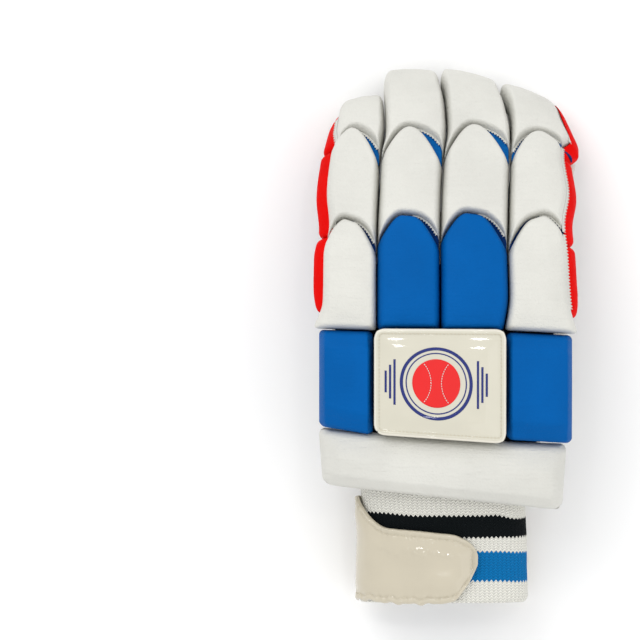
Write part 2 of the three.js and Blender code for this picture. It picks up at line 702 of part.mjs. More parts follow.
// White pads that shield the index finger's side below the red strips
function indexSidePad(from, to, clear) {
  const along = steps(6);
  const levels = steps(4);
  const face = (bulge) => along.map((a) => levels.map((b) => {
    const s = lerp(from, to, a);
    const drop = sidePadReach * (s < rootReach ? palmDepth : stallDepth);
    const n = -lerp(drop, stripDrop + 2 * seamGap, b);
    const round = Math.sin(Math.PI * clamp(a, 0.05, 0.95)) ** 0.35 * Math.sin(Math.PI * clamp(b, 0.12, 0.88)) ** 0.4;
    return place(LINES[3], indexSideX(s, n) + clear + bulge * round, s, n);
  }));
  return slab(face(sidePadDepth), face(0));
}

const sides = region('side_protection');
for (const [index, outward] of [[0, -1], [3, 1]]) {
  const finger = FINGERS[index];
  const line = LINES[index];
  const side = outward < 0 ? 'left' : 'right';
  const along = (share) => line.alongAt(share * fingerReach, 0);
  const marks = [along(finger.rear[side] + 0.12), along(finger.inner[side] - 0.01),
    along(finger.outer[side]), line.domeStart + line.radius * 0.1];
  ['base', 'middle', 'tip'].forEach((part, i) => {
    const strip = sideStrip(index, outward, marks[i] + seamGap, marks[i + 1] - seamGap);
    addPiece(sides, `${finger.name}_side_${part}`, strip, redSkin);
  });
}
[
  ['knuckle', -0.3, 0.03, seamGap], ['lower', 0.06, 0.4, 2.5 * seamGap], ['upper', 0.42, 0.72, 2.5 * seamGap],
].forEach(([part, from, to, clear]) => {
  const along = (share) => LINES[3].alongAt(share * fingerReach, -stripDrop);
  addPiece(sides, `index_side_pad_${part}`, indexSidePad(along(from), along(to), clear), whiteSkin);
});

// Back of the hand: the panel that the rolls are sewn to, the knuckle row and the wrist roll
const back = region('back_of_hand');
addPiece(back, 'back_panel', sheetOn(
  handPoint, stations(-heelReach, rootReach, 6), [31, 149], 0, -knitWall,
), knit);

// Corners of a pad of the back: left and right as shares of half the padWidth, reaches as shares of fingerReach.
function padEdges({ left, right, frontLeft, frontRight, rearLeft, rearRight }, height, corner, inset = 0) {
  const half = padWidth / 2;
  const share = (x) => (x / half - left) / (right - left);
  const end = (atLeft, atRight, inward) => (x) => (
    HAND_LINE.alongAt(lerp(atLeft, atRight, share(x)) * fingerReach + inward, height));
  return roundedEdges(
    left * half + inset, right * half - inset, end(rearLeft, rearRight, inset), end(frontLeft, frontRight, -inset), corner,
  );
}

function backPad(place, depth, corner, skirt, under = 1.6 * seamGap) {
  return roll(HAND_LINE, padEdges(place, skirt, corner), () => depth, () => under, skirt);
}

const KNUCKLE_PADS = {
  little: { left: -0.97, right: -0.559, frontLeft: 0.028, frontRight: 0.022, rearLeft: -0.335, rearRight: -0.36 },
  centre: { left: -0.55, right: 0.45, frontLeft: 0.022, frontRight: 0.02, rearLeft: -0.36, rearRight: -0.388 },
  index: { left: 0.459, right: 0.965, frontLeft: 0.018, frontRight: 0.006, rearLeft: -0.385, rearRight: -0.4 },
};
const WRIST_ROLL = { left: -0.955, right: 0.91, frontLeft: -0.36, frontRight: -0.415, rearLeft: -0.55, rearRight: -0.63 };

const plateThickness = 2.2;
const plateCorner = 4.5;
const plateEdgeDrop = 0.6;
addPiece(back, 'knuckle_pad_little', backPad(
  KNUCKLE_PADS.little, knucklePadDepth, knucklePadCorner, knucklePadSkirt,
), blueSkin);
addPiece(back, 'knuckle_pad_index', backPad(
  KNUCKLE_PADS.index, knucklePadDepth, knucklePadCorner, knucklePadSkirt,
), blueSkin);
addPiece(back, 'knuckle_pad_centre', backPad(
  KNUCKLE_PADS.centre, knucklePadDepth - plateThickness - 1, plateCorner, centrePadSkirt,
), whiteSkin);
addPiece(back, 'wrist_roll', backPad(
  WRIST_ROLL, wristRollDepth, wristRollCorner, wristRollSkirt, 3 * seamGap,
), whiteSkin);

// The glossy plate on the centre pad: a moulded sheet with rounded corners and a soft edge
function centrePlate() {
  const edges = padEdges(KNUCKLE_PADS.centre, knucklePadDepth, plateCorner, 0.5);
  const points = MARGIN_STEPS.map((a) => MARGIN_STEPS.map((b) => patchPoint(edges, a, b)));
  const level = knucklePadDepth - plateThickness - 0.2;
  const rows = (thickness) => points.map((row, i) => row.map(([x, s], j) => {
    const rim = i % 7 === 0 || j % 7 === 0;
    return place(HAND_LINE, x, s, level - (rim ? plateEdgeDrop : 0) + thickness * (rim ? 0.75 : 1));
  }));
  return slab(rows(plateThickness), rows(0));
}
addPiece(back, 'centre_plate', centrePlate(), gloss);

// Palm side of the hand: leather palm with its thumb opening, knitted gussets and the stitched heel patch
const palm = region('palm');
const slitStart = -0.5 * heelReach;

// The palm leather's little-finger edge swings in behind slitStart and leaves the wrist slit open.
const palmAngles = (s) => [lerp(226, 231, smooth((slitStart - s) / (heelReach + slitStart))), 334];
const gussetAngles = (s) => [150, lerp(203, 200, smooth((slitStart - s) / (heelReach + slitStart)))];

const thumbEnd = thumbLength + (thumbTipLength * Math.PI) / 2;
function thumbSkin(offset, fromStation, ringsCount) {
  const around = steps(14).slice(0, -1).map((t) => 360 * t);
  const along = [
    ...stations(fromStation, thumbLength, ringsCount),
    ...stations(thumbLength, thumbEnd, 4).slice(1, -1),
  ];
  return { rings: along.map((s) => around.map((a) => thumbPoint(s, a, offset))), tip: thumbPoint(thumbEnd, 0, offset) };
}

// The solid inside a closed run of rings, used to cut the thumb's way through the palm
function filled({ rings, tip }) {
  const centre = rings[0].reduce((sum, p) => sum.add(p), new THREE.Vector3()).divideScalar(rings[0].length);
  const skin = new Skin();
  const loops = rings.map((ring) => [...ring, ring[0]]);
  skin.grid(loops, true);
  const fan = (loop, point, flip) => loop.slice(0, -1).forEach((p, i) => {
    if (flip) skin.triangle(loop[i + 1], p, point);
    else skin.triangle(p, loop[i + 1], point);
  });
  fan(loops[0], centre, true);
  fan(loops[loops.length - 1], tip, false);
  return skin.geometry();
}

function handSolid(offset) {
  const around = steps(24).slice(0, -1).map((t) => 360 * t);
  const rings = stations(-heelReach, rootReach, 6).map((s) => around.map((a) => handPoint(s, a, offset)));
  const middle = rings[rings.length - 1].reduce((sum, p) => sum.add(p), new THREE.Vector3());
  return filled({ rings, tip: middle.divideScalar(around.length) });
}

const thumbBore = solidOf(filled(thumbSkin(seamGap, 0, 6)));
const palmSheet = solidOf(sheetOn(handPoint, stations(-heelReach, rootReach, 7), palmAngles, 0, -leatherWall));
const indexSheet = solidOf(sheetOn(handPoint, stations(-heelReach, rootReach, 6), [-25, 30], 0, -gussetWall));
addPiece(palm, 'palm_leather', geometryOf(palmSheet.subtract(thumbBore)), leather);
addPiece(palm, 'index_gusset', geometryOf(indexSheet.subtract(thumbBore)), knit);
addPiece(palm, 'little_gusset', sheetOn(
  handPoint, stations(-heelReach, rootReach, 6), gussetAngles, 0, -gussetWall,
), knit);
addPiece(palm, 'heel_patch', sheetOn(
  handPoint, stations(-heelReach * 0.97, -heelReach * 0.12, 5), (s) => [palmAngles(s)[0] + 4, palmAngles(s)[0] + 30],
  seamGap + leatherWall * 0.7, seamGap,
), leather);

// Thumb: leather stall, blue and white pads underneath, and the mesh along its inner side
const thumb = region('thumb');
const stallOuter = thumbSkin(0, 0, 6);
const stallInner = thumbSkin(-leatherWall, 0, 6);
const thumbStall = solidOf(thimble(stallOuter.rings, stallOuter.tip, stallInner.rings, stallInner.tip))
  .subtract(solidOf(handSolid(seamGap)));
addPiece(thumb, 'thumb_stall', geometryOf(thumbStall), leather);

function thumbPad(from, to, angles, roundFront) {
  const arc = (radians(angles[1] - angles[0]) * thumbWidth) / 2.4;
  const rows = (raised) => MARGIN_STEPS.map((a) => PAD_STEPS.map((b) => {
    const s = lerp(from, to, a);
    const angle = lerp(angles[0], angles[1], b);
    const toEnds = Math.min(a, 1 - a) * (to - from);
    const toSides = Math.min(b, 1 - b) * arc;
    const margin = shoulder(toEnds, thumbPadBevel) * shoulder(toSides, thumbPadBevel);
    const full = roundFront ? lerp(thumbPadDepth, thumbPadDepth * 0.7, smooth((s - thumbLength) / thumbTipLength))
      : thumbPadDepth;
    return thumbPoint(s, angle, raised ? thumbPadSkirt + (full - thumbPadSkirt) * margin : 2 * seamGap);
  }));
  return pressedFlat(slab(rows(true), rows(false)));
}
const thumbJoint = thumbLength * 0.56;
addPiece(thumb, 'thumb_base_pad', thumbPad(thumbLength * 0.2, thumbJoint - seamGap, [176, 308], false), whiteSkin);
addPiece(thumb, 'thumb_tip_pad', thumbPad(
  thumbJoint + seamGap, thumbLength + thumbTipLength * radians(62), [176, 300], true,
), blueSkin);
// The leather fin along the thumb's inner side, where its two halves are sewn together
function thumbFin() {
  const marks = steps(7);
  const side = (lift) => marks.map((a) => steps(3).map((b) => {
    const s = lerp(thumbLength * 0.5, thumbLength + thumbTipLength * 0.15, a);
    const reach = finReach * Math.sin(Math.PI * clamp(a, 0.06, 0.94)) ** 0.35;
    const point = thumbPoint(s, 8, seamGap + leatherWall + 1 + reach * b);
    return point.add(new THREE.Vector3(0, 0, lift * (1 - 0.3 * b)));
  }));
  return slab(side(finThickness / 2), side(-finThickness / 2));
}
addPiece(thumb, 'thumb_fin', thumbFin(), leather);
addPiece(thumb, 'thumb_mesh', sheetOn(
  thumbPoint, stations(thumbLength * 0.24, thumbLength, 6), (s) => (s < thumbJoint ? [316, 372] : [312, 372]),
  seamGap + leatherWall, seamGap,
), mesh);

// Wristband, its slit edged with leather, and the strap round it
const cuff = region('cuff');
addPiece(cuff, 'wristband', sheetOn(
  (at, angle, offset) => cuffPoint(at, angle, offset), stations(0, 1, 4), [-134, 206], 0, -cuffWall, 15,
), knit);

// A round cord through a list of points, thinned to its ends
function cord(points, radius) {
  const curve = new THREE.CatmullRomCurve3(points);
  const skin = new Skin();
  const rings = steps(6).map((t) => {
    const ahead = curve.getTangentAt(t);
    const side = new THREE.Vector3().crossVectors(ahead, new THREE.Vector3(0, 0, 1)).normalize();
    const up = new THREE.Vector3().crossVectors(side, ahead);
    const ring = steps(6).map((a) => curve.getPointAt(t)
      .addScaledVector(side, Math.cos(2 * Math.PI * a) * radius)
      .addScaledVector(up, Math.sin(2 * Math.PI * a) * radius));
    ring[6] = ring[0];
    return ring;
  });
  skin.grid(rings);
  [rings[0], rings[6]].forEach((ring, end) => {
    for (let i = 1; i < 5; i += 1) {
      if (end) skin.triangle(ring[0], ring[i + 1], ring[i]);
      else skin.triangle(ring[0], ring[i], ring[i + 1]);
    }
  });
  return skin.geometry();
}
const slitMarks = stations(-heelReach, slitStart, 5);

function slitPiping(edgeAngle, otherAngle) {
  return cord(slitMarks.map((s) => {
    const edge = handPoint(s, edgeAngle(s), -leatherWall / 2);
    const inward = handPoint(s, otherAngle(s), -leatherWall / 2).sub(edge).normalize();
    return edge.addScaledVector(inward, pipingRadius + 1.6 * seamGap);
  }), pipingRadius);
}
const palmEdge = (s) => palmAngles(s)[0];
const gussetEdge = (s) => gussetAngles(s)[1];
addPiece(palm, 'slit_piping_palm', slitPiping(palmEdge, gussetEdge), leather);
addPiece(palm, 'slit_piping_back', slitPiping(gussetEdge, palmEdge), leather);

// The strap follows the wristband. at is an angle round it in degrees, from the strap's end on the back, round
// the little finger's side, to its end under the palm. upper and lower are shares of the wristband's length.
const STRAP = [
  { at: 72, upper: 0.6, lower: 0.82 },
  { at: 76, upper: 0.46, lower: 0.94 },
  { at: 86, upper: 0.41, lower: 0.98 },
  { at: 128, upper: 0.36, lower: 0.98 },
  { at: 150, upper: 0.22, lower: 0.98 },
  { at: 176, upper: 0.1, lower: 0.98 },
  { at: 240, upper: 0.12, lower: 0.98 },
  { at: 318, upper: 0.14, lower: 0.98 },
  { at: 330, upper: 0.2, lower: 0.94 },
  { at: 336, upper: 0.34, lower: 0.8 },
];

function strap() {
  const angles = [72, 76, 86, 104, 122, 140, 158, 176, 194, 214, 240, 270, 300, 318, 330, 336];
  const rows = (offset) => angles.map((angle) => steps(3).map((t) => (
    cuffPoint(lerp(column(STRAP, 'upper', angle), column(STRAP, 'lower', angle), t), angle, offset))));
  return slab(rows(3 * seamGap + strapThickness), rows(3 * seamGap));
}
addPiece(cuff, 'strap', strap(), gloss);

// The glove's own origin: the middle of its footprint, on the table
glove.updateMatrixWorld(true);
const box = new THREE.Box3().setFromObject(glove);
const shift = new THREE.Vector3(-(box.min.x + box.max.x) / 2, -(box.min.y + box.max.y) / 2, -box.min.z);
glove.traverse((piece) => {
  if (piece.isMesh) piece.geometry.translate(shift.x, shift.y, shift.z);
});

export default glove;
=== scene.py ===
"""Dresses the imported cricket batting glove: foam rolls, knit, leather, strap and a pale studio.

Shapes are worked out in millimetres and put into the meshes in metres. x runs to the index finger, y to the
fingertips and z up. s is the distance along the back of a finger or of the hand, and n the height over it. Round
the skins an angle of 0 is the index side, 90 the back, 180 the little-finger side and 270 the palm.
"""

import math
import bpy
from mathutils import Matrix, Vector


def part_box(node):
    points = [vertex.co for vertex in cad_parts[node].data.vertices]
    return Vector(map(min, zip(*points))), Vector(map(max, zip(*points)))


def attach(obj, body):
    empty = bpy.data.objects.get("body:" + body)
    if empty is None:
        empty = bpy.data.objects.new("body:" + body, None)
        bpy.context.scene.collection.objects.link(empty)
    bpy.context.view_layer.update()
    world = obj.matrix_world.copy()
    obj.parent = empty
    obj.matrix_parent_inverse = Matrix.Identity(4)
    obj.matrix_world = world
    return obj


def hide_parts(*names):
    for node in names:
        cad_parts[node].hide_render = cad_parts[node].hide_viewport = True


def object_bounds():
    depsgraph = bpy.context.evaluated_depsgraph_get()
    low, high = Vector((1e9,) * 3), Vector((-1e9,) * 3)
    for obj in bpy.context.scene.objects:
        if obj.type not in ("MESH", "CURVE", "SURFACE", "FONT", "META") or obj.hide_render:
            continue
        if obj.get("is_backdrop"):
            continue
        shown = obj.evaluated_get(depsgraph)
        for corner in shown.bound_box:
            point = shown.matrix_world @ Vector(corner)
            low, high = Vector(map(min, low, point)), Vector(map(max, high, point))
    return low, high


bl_info = {
    "name": "Batting Glove",
    "version": (1, 0, 0),
    "blender": (4, 5, 0),
    "location": "View3D > Sidebar > Glove",
    "description": "Makes the rolls, leather, knit and stitching of a cricket batting glove",
    "category": "Add Mesh",
}

import bmesh
import bpy
import numpy as np
from bpy.props import FloatProperty, FloatVectorProperty, IntProperty, PointerProperty
from bpy.types import Operator, Panel, PropertyGroup
from mathutils import Vector

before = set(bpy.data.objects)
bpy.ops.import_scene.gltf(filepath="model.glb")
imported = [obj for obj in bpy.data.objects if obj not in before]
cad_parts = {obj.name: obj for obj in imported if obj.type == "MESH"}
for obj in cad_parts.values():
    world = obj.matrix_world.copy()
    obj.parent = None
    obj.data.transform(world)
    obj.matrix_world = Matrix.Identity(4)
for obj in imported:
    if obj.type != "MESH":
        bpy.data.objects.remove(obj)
CAD_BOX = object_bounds()
MM = 1000

# Sizes of the glove in millimetres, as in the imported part
PAD_WIDTH = 136.0
HALF = PAD_WIDTH / 2
FINGER_REACH = 139.0
ROOT_REACH = 38.0
HEEL_REACH = 78.0
CUFF_REACH = 139.0
BACK_HEIGHT = 66.0
PALM_DEPTH = 28.0
STALL_DEPTH = 24.0
ARCH_RADIUS = 260.0
KNUCKLE_RADIUS = 200.0
HEEL_RADIUS = 300.0
HEEL_BEND_START = 15.0
KNIT_WALL = 2.0
GUSSET_WALL = 2.4
LEATHER_WALL = 1.4
SEAM_GAP = 0.4
GROOVE_GAP = 1.0
TIP_TURN = math.radians(112)
SLIT_START = -0.5 * HEEL_REACH
THUMB_WIDTH = 42.0
THUMB_HEIGHT = 19.0
THUMB_TIP = 15.0
THUMB_SQUARE = 2.6
CUFF_WIDTH = 88.0
CUFF_DEPTH = 43.0
CUFF_BACK_HEIGHT = 46.4

# Angles round the hand where its panels lie
BACK_PANEL = (31, 149)
LITTLE_GUSSET_START = 150
INDEX_GUSSET = (-25, 30)
PALM_START, PALM_END = 226, 334
# The heel patch's sides and stitches, in degrees from the palm leather's edge
HEEL_PATCH = (4, 34)

# The three points of each joint line are its left foot, its right foot and its crown
FINGERS = {
    "little": dict(tip=0.9, tuck=0.16, lift=3.0, rear=(0.037, 0.03),
                   outer=(0.7, 0.632, 0.76), inner=(0.363, 0.302, 0.423)),
    "ring": dict(tip=1.0, tuck=0.0, lift=2.4, rear=(0.034, 0.034),
                 outer=(0.662, 0.632, 0.767), inner=(0.344, 0.322, 0.443)),
    "middle": dict(tip=1.0, tuck=-0.22, lift=2.4, rear=(0.03, 0.03),
                   outer=(0.662, 0.64, 0.776), inner=(0.352, 0.314, 0.449)),
    "index": dict(tip=0.93, tuck=-0.36, lift=3.4, rear=(0.03, 0.016),
                  outer=(0.647, 0.714, 0.757), inner=(0.311, 0.378, 0.436)),
}
NAMES = list(FINGERS)
ROLL_GAP = 0.5
# Heights over the back at which the rolls' joints and the red strips' marks are seen from above
JOINT_LEVEL, STRIP_LEVEL = 4.0, 0.0
# Flank widths of the bell where a roll's front nests into the next, left and right
CROWN_FLANKS = {"outer": (0.48, 0.5), "inner": (0.41, 0.43)}
# Powers of the flanks of the upper roll's foot. Below 1 the foot is squarer than the lower roll's crown, and the
# lining shows between them.
FOOT_POWERS = {
    "little": {"outer": (1, 0.36), "inner": (1, 0.56)},
    "ring": {"outer": (1, 0.28), "inner": (1, 0.5)},
    "middle": {"outer": (1, 0.3), "inner": (1, 0.5)},
    "index": {"outer": (0.62, 0.6), "inner": (0.8, 0.9)},
}
FOOT_BEVEL = 2.2
# Share of each fingertip's width, from the left, that it narrows towards, and by how much
TIP_PIVOT = {"little": (0.8, 0.19), "ring": (0.5, 0.28), "middle": (0.3, 0.3), "index": (0.12, 0.3)}
# How much thicker a fingertip roll is in front
TIP_FRONT = {"little": 0.8, "ring": 1.6, "middle": -0.6, "index": 0.5}
# How far a base roll's rear corners spread to the left and to the right
FLARE = {"little": (-2.8, 0.0), "ring": (0.0, 0.0), "middle": (0.0, 0.0), "index": (0.0, 1.5)}
# Where the red strips' segments start and meet, as shares of the longest finger's reach
STRIP_MARKS = {"little": (0.092, 0.372, 0.698), "index": (0.071, 0.338, 0.662)}
# How far round the fingertip a red strip ends, in its radius, and how far it climbs towards there
STRIP_END = {"little": (0.6, 0.0), "index": (1.05, 3.5)}

# Rows of stations and shares. A groove is a share of half the padded width, at a share of the finger reach.
GROOVES = dict(
    at=[0.02, 0.15, 0.3, 0.41, 0.52, 0.66, 0.76, 0.86, 0.95],
    g0=[-0.975, -0.945, -0.94, -0.9, -0.918, -0.89, -0.85, -0.82, -0.78],
    g1=[-0.53, -0.53, -0.528, -0.524, -0.512, -0.495, -0.462, -0.465, -0.474],
    g2=[-0.046, -0.046, -0.046, -0.042, -0.034, -0.012, 0.012, 0.0, -0.035],
    g3=[0.44, 0.478, 0.472, 0.478, 0.485, 0.498, 0.506, 0.475, 0.42],
    g4=[0.985, 0.945, 0.925, 0.905, 0.94, 0.905, 0.91, 0.87, 0.82],
)
HAND = dict(
    at=[-1.0, -0.8, -0.55, -0.2, 0.15, 0.49],
    back_left=[-0.67, -0.8, -0.9, -0.93, -0.93, -0.93],
    back_right=[0.62, 0.74, 0.84, 0.9, 0.92, 0.91],
    palm_left=[-0.64, -0.67, -0.7, -0.71, -0.73, -0.75],
    palm_right=[0.6, 0.63, 0.67, 0.7, 0.71, 0.73],
    depth=[1.1, 1.06, 1.03, 1.02, 1.02, 1.0],
    square=[2.8, 3.4, 4.0, 4.2, 4.4, 5.5],
)
CUFF = dict(
    at=[0.0, 0.35, 0.7, 1.0],
    width=[0.98, 0.97, 0.98, 1.0],
    depth=[0.72, 0.84, 0.95, 1.0],
    top=[1.23, 1.15, 1.05, 1.0],
    square=[2.7, 2.7, 2.6, 2.6],
)
THUMB_LINE = dict(
    across=[0.38, 0.3, 0.14, -0.03, -0.14, -0.18],
    along=[-0.44, -0.33, -0.18, 0.0, 0.19, 0.375],
    height=[1.12, 0.82, 0.6, 0.55, 0.52, 0.47],
)
# Pads: sides as shares of half the padded width, and marks along the front and rear edges from left to right, as
# shares of the finger reach
KNUCKLE_PADS = {
    "little": dict(sides=(-0.97, -0.559), front=(0.028, 0.022), rear=(-0.335, -0.368)),
    "centre": dict(sides=(-0.55, 0.45), front=(0.022, 0.02), rear=(-0.36, -0.388)),
    "index": dict(sides=(0.459, 0.965), front=(0.018, 0.006), rear=(-0.385, -0.4)),
}
PLATE = dict(sides=(-0.553, 0.453), front=(0.032, 0.03), rear=(-0.3645, -0.399))
PLATE_SIZE = (66, 55)
WRIST_ROLL = dict(
    taper=0.035, sides=(-0.975, 0.925), front=(-0.3405, -0.3635, -0.379, -0.3935, -0.4025), rear=(-0.553, -0.648))
# The strap's two edges on the wristband's length, by the angle round it
STRAP = dict(
    at=[74.2, 75, 76.6, 79.6, 83, 87, 92, 102, 120, 128, 139, 150, 162, 176, 240, 318, 330, 336],
    upper=[0.605, 0.56, 0.52, 0.475, 0.445, 0.415, 0.398, 0.38, 0.362, 0.352, 0.305, 0.236, 0.155, 0.08, 0.12, 0.14,
           0.2, 0.34],
    lower=[0.665, 0.7, 0.75, 0.83, 0.905, 0.985, 1.008, 1.012, 1.006, 1.0, 0.99, 0.985, 0.98, 0.98, 0.98, 0.98, 0.94,
           0.8],
)
STRAP_START, STRAP_END = STRAP["at"][0], STRAP["at"][-1]
STRAP_SEAM_INSET = 3.2


def length(label, text, default, low, high):
    """A length in metres for the panel."""
    return FloatProperty(name=label, description=text, default=default, min=low, max=high, unit="LENGTH")


def colour(label, text, default):
    """A colour for the panel."""
    return FloatVectorProperty(name=label, description=text, subtype="COLOR", default=default, min=0, max=1)


class GloveSizes(PropertyGroup):
    """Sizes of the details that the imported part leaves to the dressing."""

    roll_depth: length("Roll depth", "Height of a finger roll over the hand", 0.015, 0.008, 0.02)
    tip_depth: length("Tip roll depth", "Height of a fingertip roll", 0.013, 0.006, 0.018)
    knuckle_depth: length("Knuckle pad depth", "Height of the knuckle row", 0.019, 0.01, 0.024)
    wrist_depth: length("Wrist roll depth", "Height of the wrist roll", 0.016, 0.008, 0.02)
    side_bevel: length("Side shoulder", "Width of a roll's rounded sides", 0.0046, 0.002, 0.012)
    joint_bevel: length("Joint shoulder", "Width of a roll's rounded ends", 0.0034, 0.001, 0.01)
    tooth_pitch: length("Pinking pitch", "Distance between the teeth of a pinked edge", 0.0016, 0.0008, 0.004)
    stitch_pitch: length("Stitch pitch", "Distance from one stitch to the next", 0.0027, 0.001, 0.006)
    ribs: IntProperty(
        name="Wristband ribs", description="Knitted ribs round the wristband", default=84, min=40, max=200)


class GloveColours(PropertyGroup):
    """Colours of the glove's materials, under the materials' own names."""

    white_leather: colour("White leather", "Coated leather of the rolls", (0.655, 0.65, 0.605))
    blue_leather: colour("Blue leather", "Coated leather of the blue pads", (0.0, 0.1, 0.365))
    red_leather: colour("Red leather", "Coated leather of the side strips", (0.74, 0.001, 0.0))
    palm_leather: colour("Palm leather", "Soft leather of the palm", (0.66, 0.645, 0.6))
    cream_gloss: colour("Cream gloss", "Moulded centre plate", (0.6, 0.575, 0.475))
    strap_gloss: colour("Strap gloss", "Moulded strap", (0.54, 0.49, 0.38))
    knit_white: colour("White knit", "Ground of the knitted parts", (0.86, 0.85, 0.78))
    knit_blue: colour("Blue knit", "Blue stripes of the knit", (0.003, 0.175, 0.47))
    knit_black: colour("Black knit", "Black stripes of the knit", (0.003, 0.005, 0.006))
    knit_dark: colour("Dark knit", "Knit under the rolls", (0.003, 0.006, 0.015))


# Numbers and curves


def smooth(t):
    """Eases from 0 to 1: 3t² - 2t³."""
    t = np.clip(t, 0, 1)
    return t * t * (3 - 2 * t)


def mix(a, b, t):
    """Straight blend a + (b - a)t."""
    return a + (b - a) * t


def arrays(*values):
    """The values as arrays of one shape."""
    return np.broadcast_arrays(*(np.asarray(value, float) for value in values))


def grid(rows, columns):
    """Two values over a grid, the first from row to row and the second from column to column."""
    return np.meshgrid(rows, columns, indexing="ij")


def unit(vectors):
    """Vectors of the same heading and length 1."""
    return vectors / np.linalg.norm(vectors, axis=-1, keepdims=True)


def signed_power(value, power):
    """Power that keeps the sign."""
    return np.sign(value) * np.abs(value) ** power


def section(angle, square):
    """Across and up on a superellipse of half widths 1: cosine and sine, each to the power 2 / square."""
    turn = np.radians(angle)
    return signed_power(np.cos(turn), 2 / square), signed_power(np.sin(turn), 2 / square)


def column(rows, name, at):
    """A table's column at any station: straight between the rows and level past its ends."""
    return np.interp(at, rows["at"], rows[name])


def eased_column(rows, name, at):
    """A table's column through a monotone cubic, so that outlines have no kinks at the rows."""
    x, y = np.array(rows["at"], float), np.array(rows[name], float)
    step, slope = np.diff(x), np.diff(y) / np.diff(x)
    same = slope[:-1] * slope[1:] > 0
    inner = np.where(same, 2 * slope[:-1] * slope[1:] / np.where(same, slope[:-1] + slope[1:], 1), 0)
    tangent = np.concatenate([slope[:1], inner, slope[-1:]])
    at = np.clip(at, x[0], x[-1])
    i = np.clip(np.searchsorted(x, at) - 1, 0, len(x) - 2)
    t = (at - x[i]) / step[i]
    a, b = 2 * t**3 - 3 * t**2 + 1, t**3 - 2 * t**2 + t
    return a * y[i] + b * step[i] * tangent[i] + (1 - a) * y[i + 1] + (t**3 - t**2) * step[i] * tangent[i + 1]


def ripple(x, y, seed, size=9.0):
    """Low waves that keep soft pieces from looking machined: six sine waves of random heading and phase."""
    rng = np.random.default_rng(seed)
    waves = 6
    total = np.zeros(np.broadcast(x, y).shape)
    for _ in range(waves):
        heading, phase, pitch = rng.uniform(0, 2 * math.pi), rng.uniform(0, 2 * math.pi), size * rng.uniform(0.6, 1.9)
        total = total + np.sin((x * math.cos(heading) + y * math.sin(heading)) / pitch + phase)
    return total / waves


def crowded(count):
    """count + 1 stations from 0 to 1, closest together at both ends: (1 - cos πt) / 2."""
    return (1 - np.cos(np.pi * np.linspace(0, 1, count + 1))) / 2


def past_dome(start, end, count=14):
    """Stations on from a dome's start to its end, by the sine of equal turns."""
    return start + (end - start) * np.sin(np.linspace(0, math.pi / 2, count)[1:])


def run(line):
    """Distance along a line at each of its points."""
    return np.concatenate([[0], np.cumsum(np.linalg.norm(np.diff(line, axis=0), axis=1))])


def sampled(line, marks, at):
    """Values of a line at other places, between those at its marks."""
    return np.stack([np.interp(at, marks, line[:, k]) for k in range(line.shape[1])], -1)


def teeth(count, points=4):
    """A triangle wave from 1 down to 0 and up again, one tooth for every so many points."""
    return np.abs((np.arange(count) / points) % 1 - 0.5) * 2


def curve_through(points, count):
    """Points and headings at even distances along a centripetal spline through the given points."""
    p = np.array(points, float)
    p = np.vstack([2 * p[0] - p[1], p, 2 * p[-1] - p[-2]])
    dense = []
    for i in range(1, len(p) - 2):
        a, b, c, d = p[i - 1 : i + 3]
        ab, bc, cd = (np.sqrt(np.linalg.norm(q - r)) for q, r in ((b, a), (c, b), (d, c)))
        start = ((b - a) / ab - (c - a) / (ab + bc) + (c - b) / bc) * bc
        end = ((c - b) / bc - (d - b) / (bc + cd) + (d - c) / cd) * bc
        t = np.linspace(0, 1, 40, endpoint=False)[:, None]
        dense.append(b + start * t + (3 * (c - b) - 2 * start - end) * t**2 + (2 * (b - c) + start + end) * t**3)
    dense = np.vstack([*dense, p[-2:-1]])
    reach = run(dense)
    line = sampled(dense, reach, np.linspace(0, reach[-1], count))
    return line, unit(np.gradient(line, axis=0)), reach[-1]


# The glove's own surfaces


def arch_drop(x):
    """Height lost to the side-to-side arch of the back: x² over twice its radius."""
    return x * x / (2 * ARCH_RADIUS)


def groove(index, y):
    """Groove between two rows of rolls, in x, at a reach y."""
    return eased_column(GROOVES, f"g{index}", np.asarray(y) / FINGER_REACH) * HALF


def bend(y, z, pitch, radius, length):
    """Moves a point along a circular bend of that radius, dipping as it goes."""
    turned = pitch + length / radius
    return y + radius * (np.sin(turned) - math.sin(pitch)), z - radius * (math.cos(pitch) - np.cos(turned)), turned


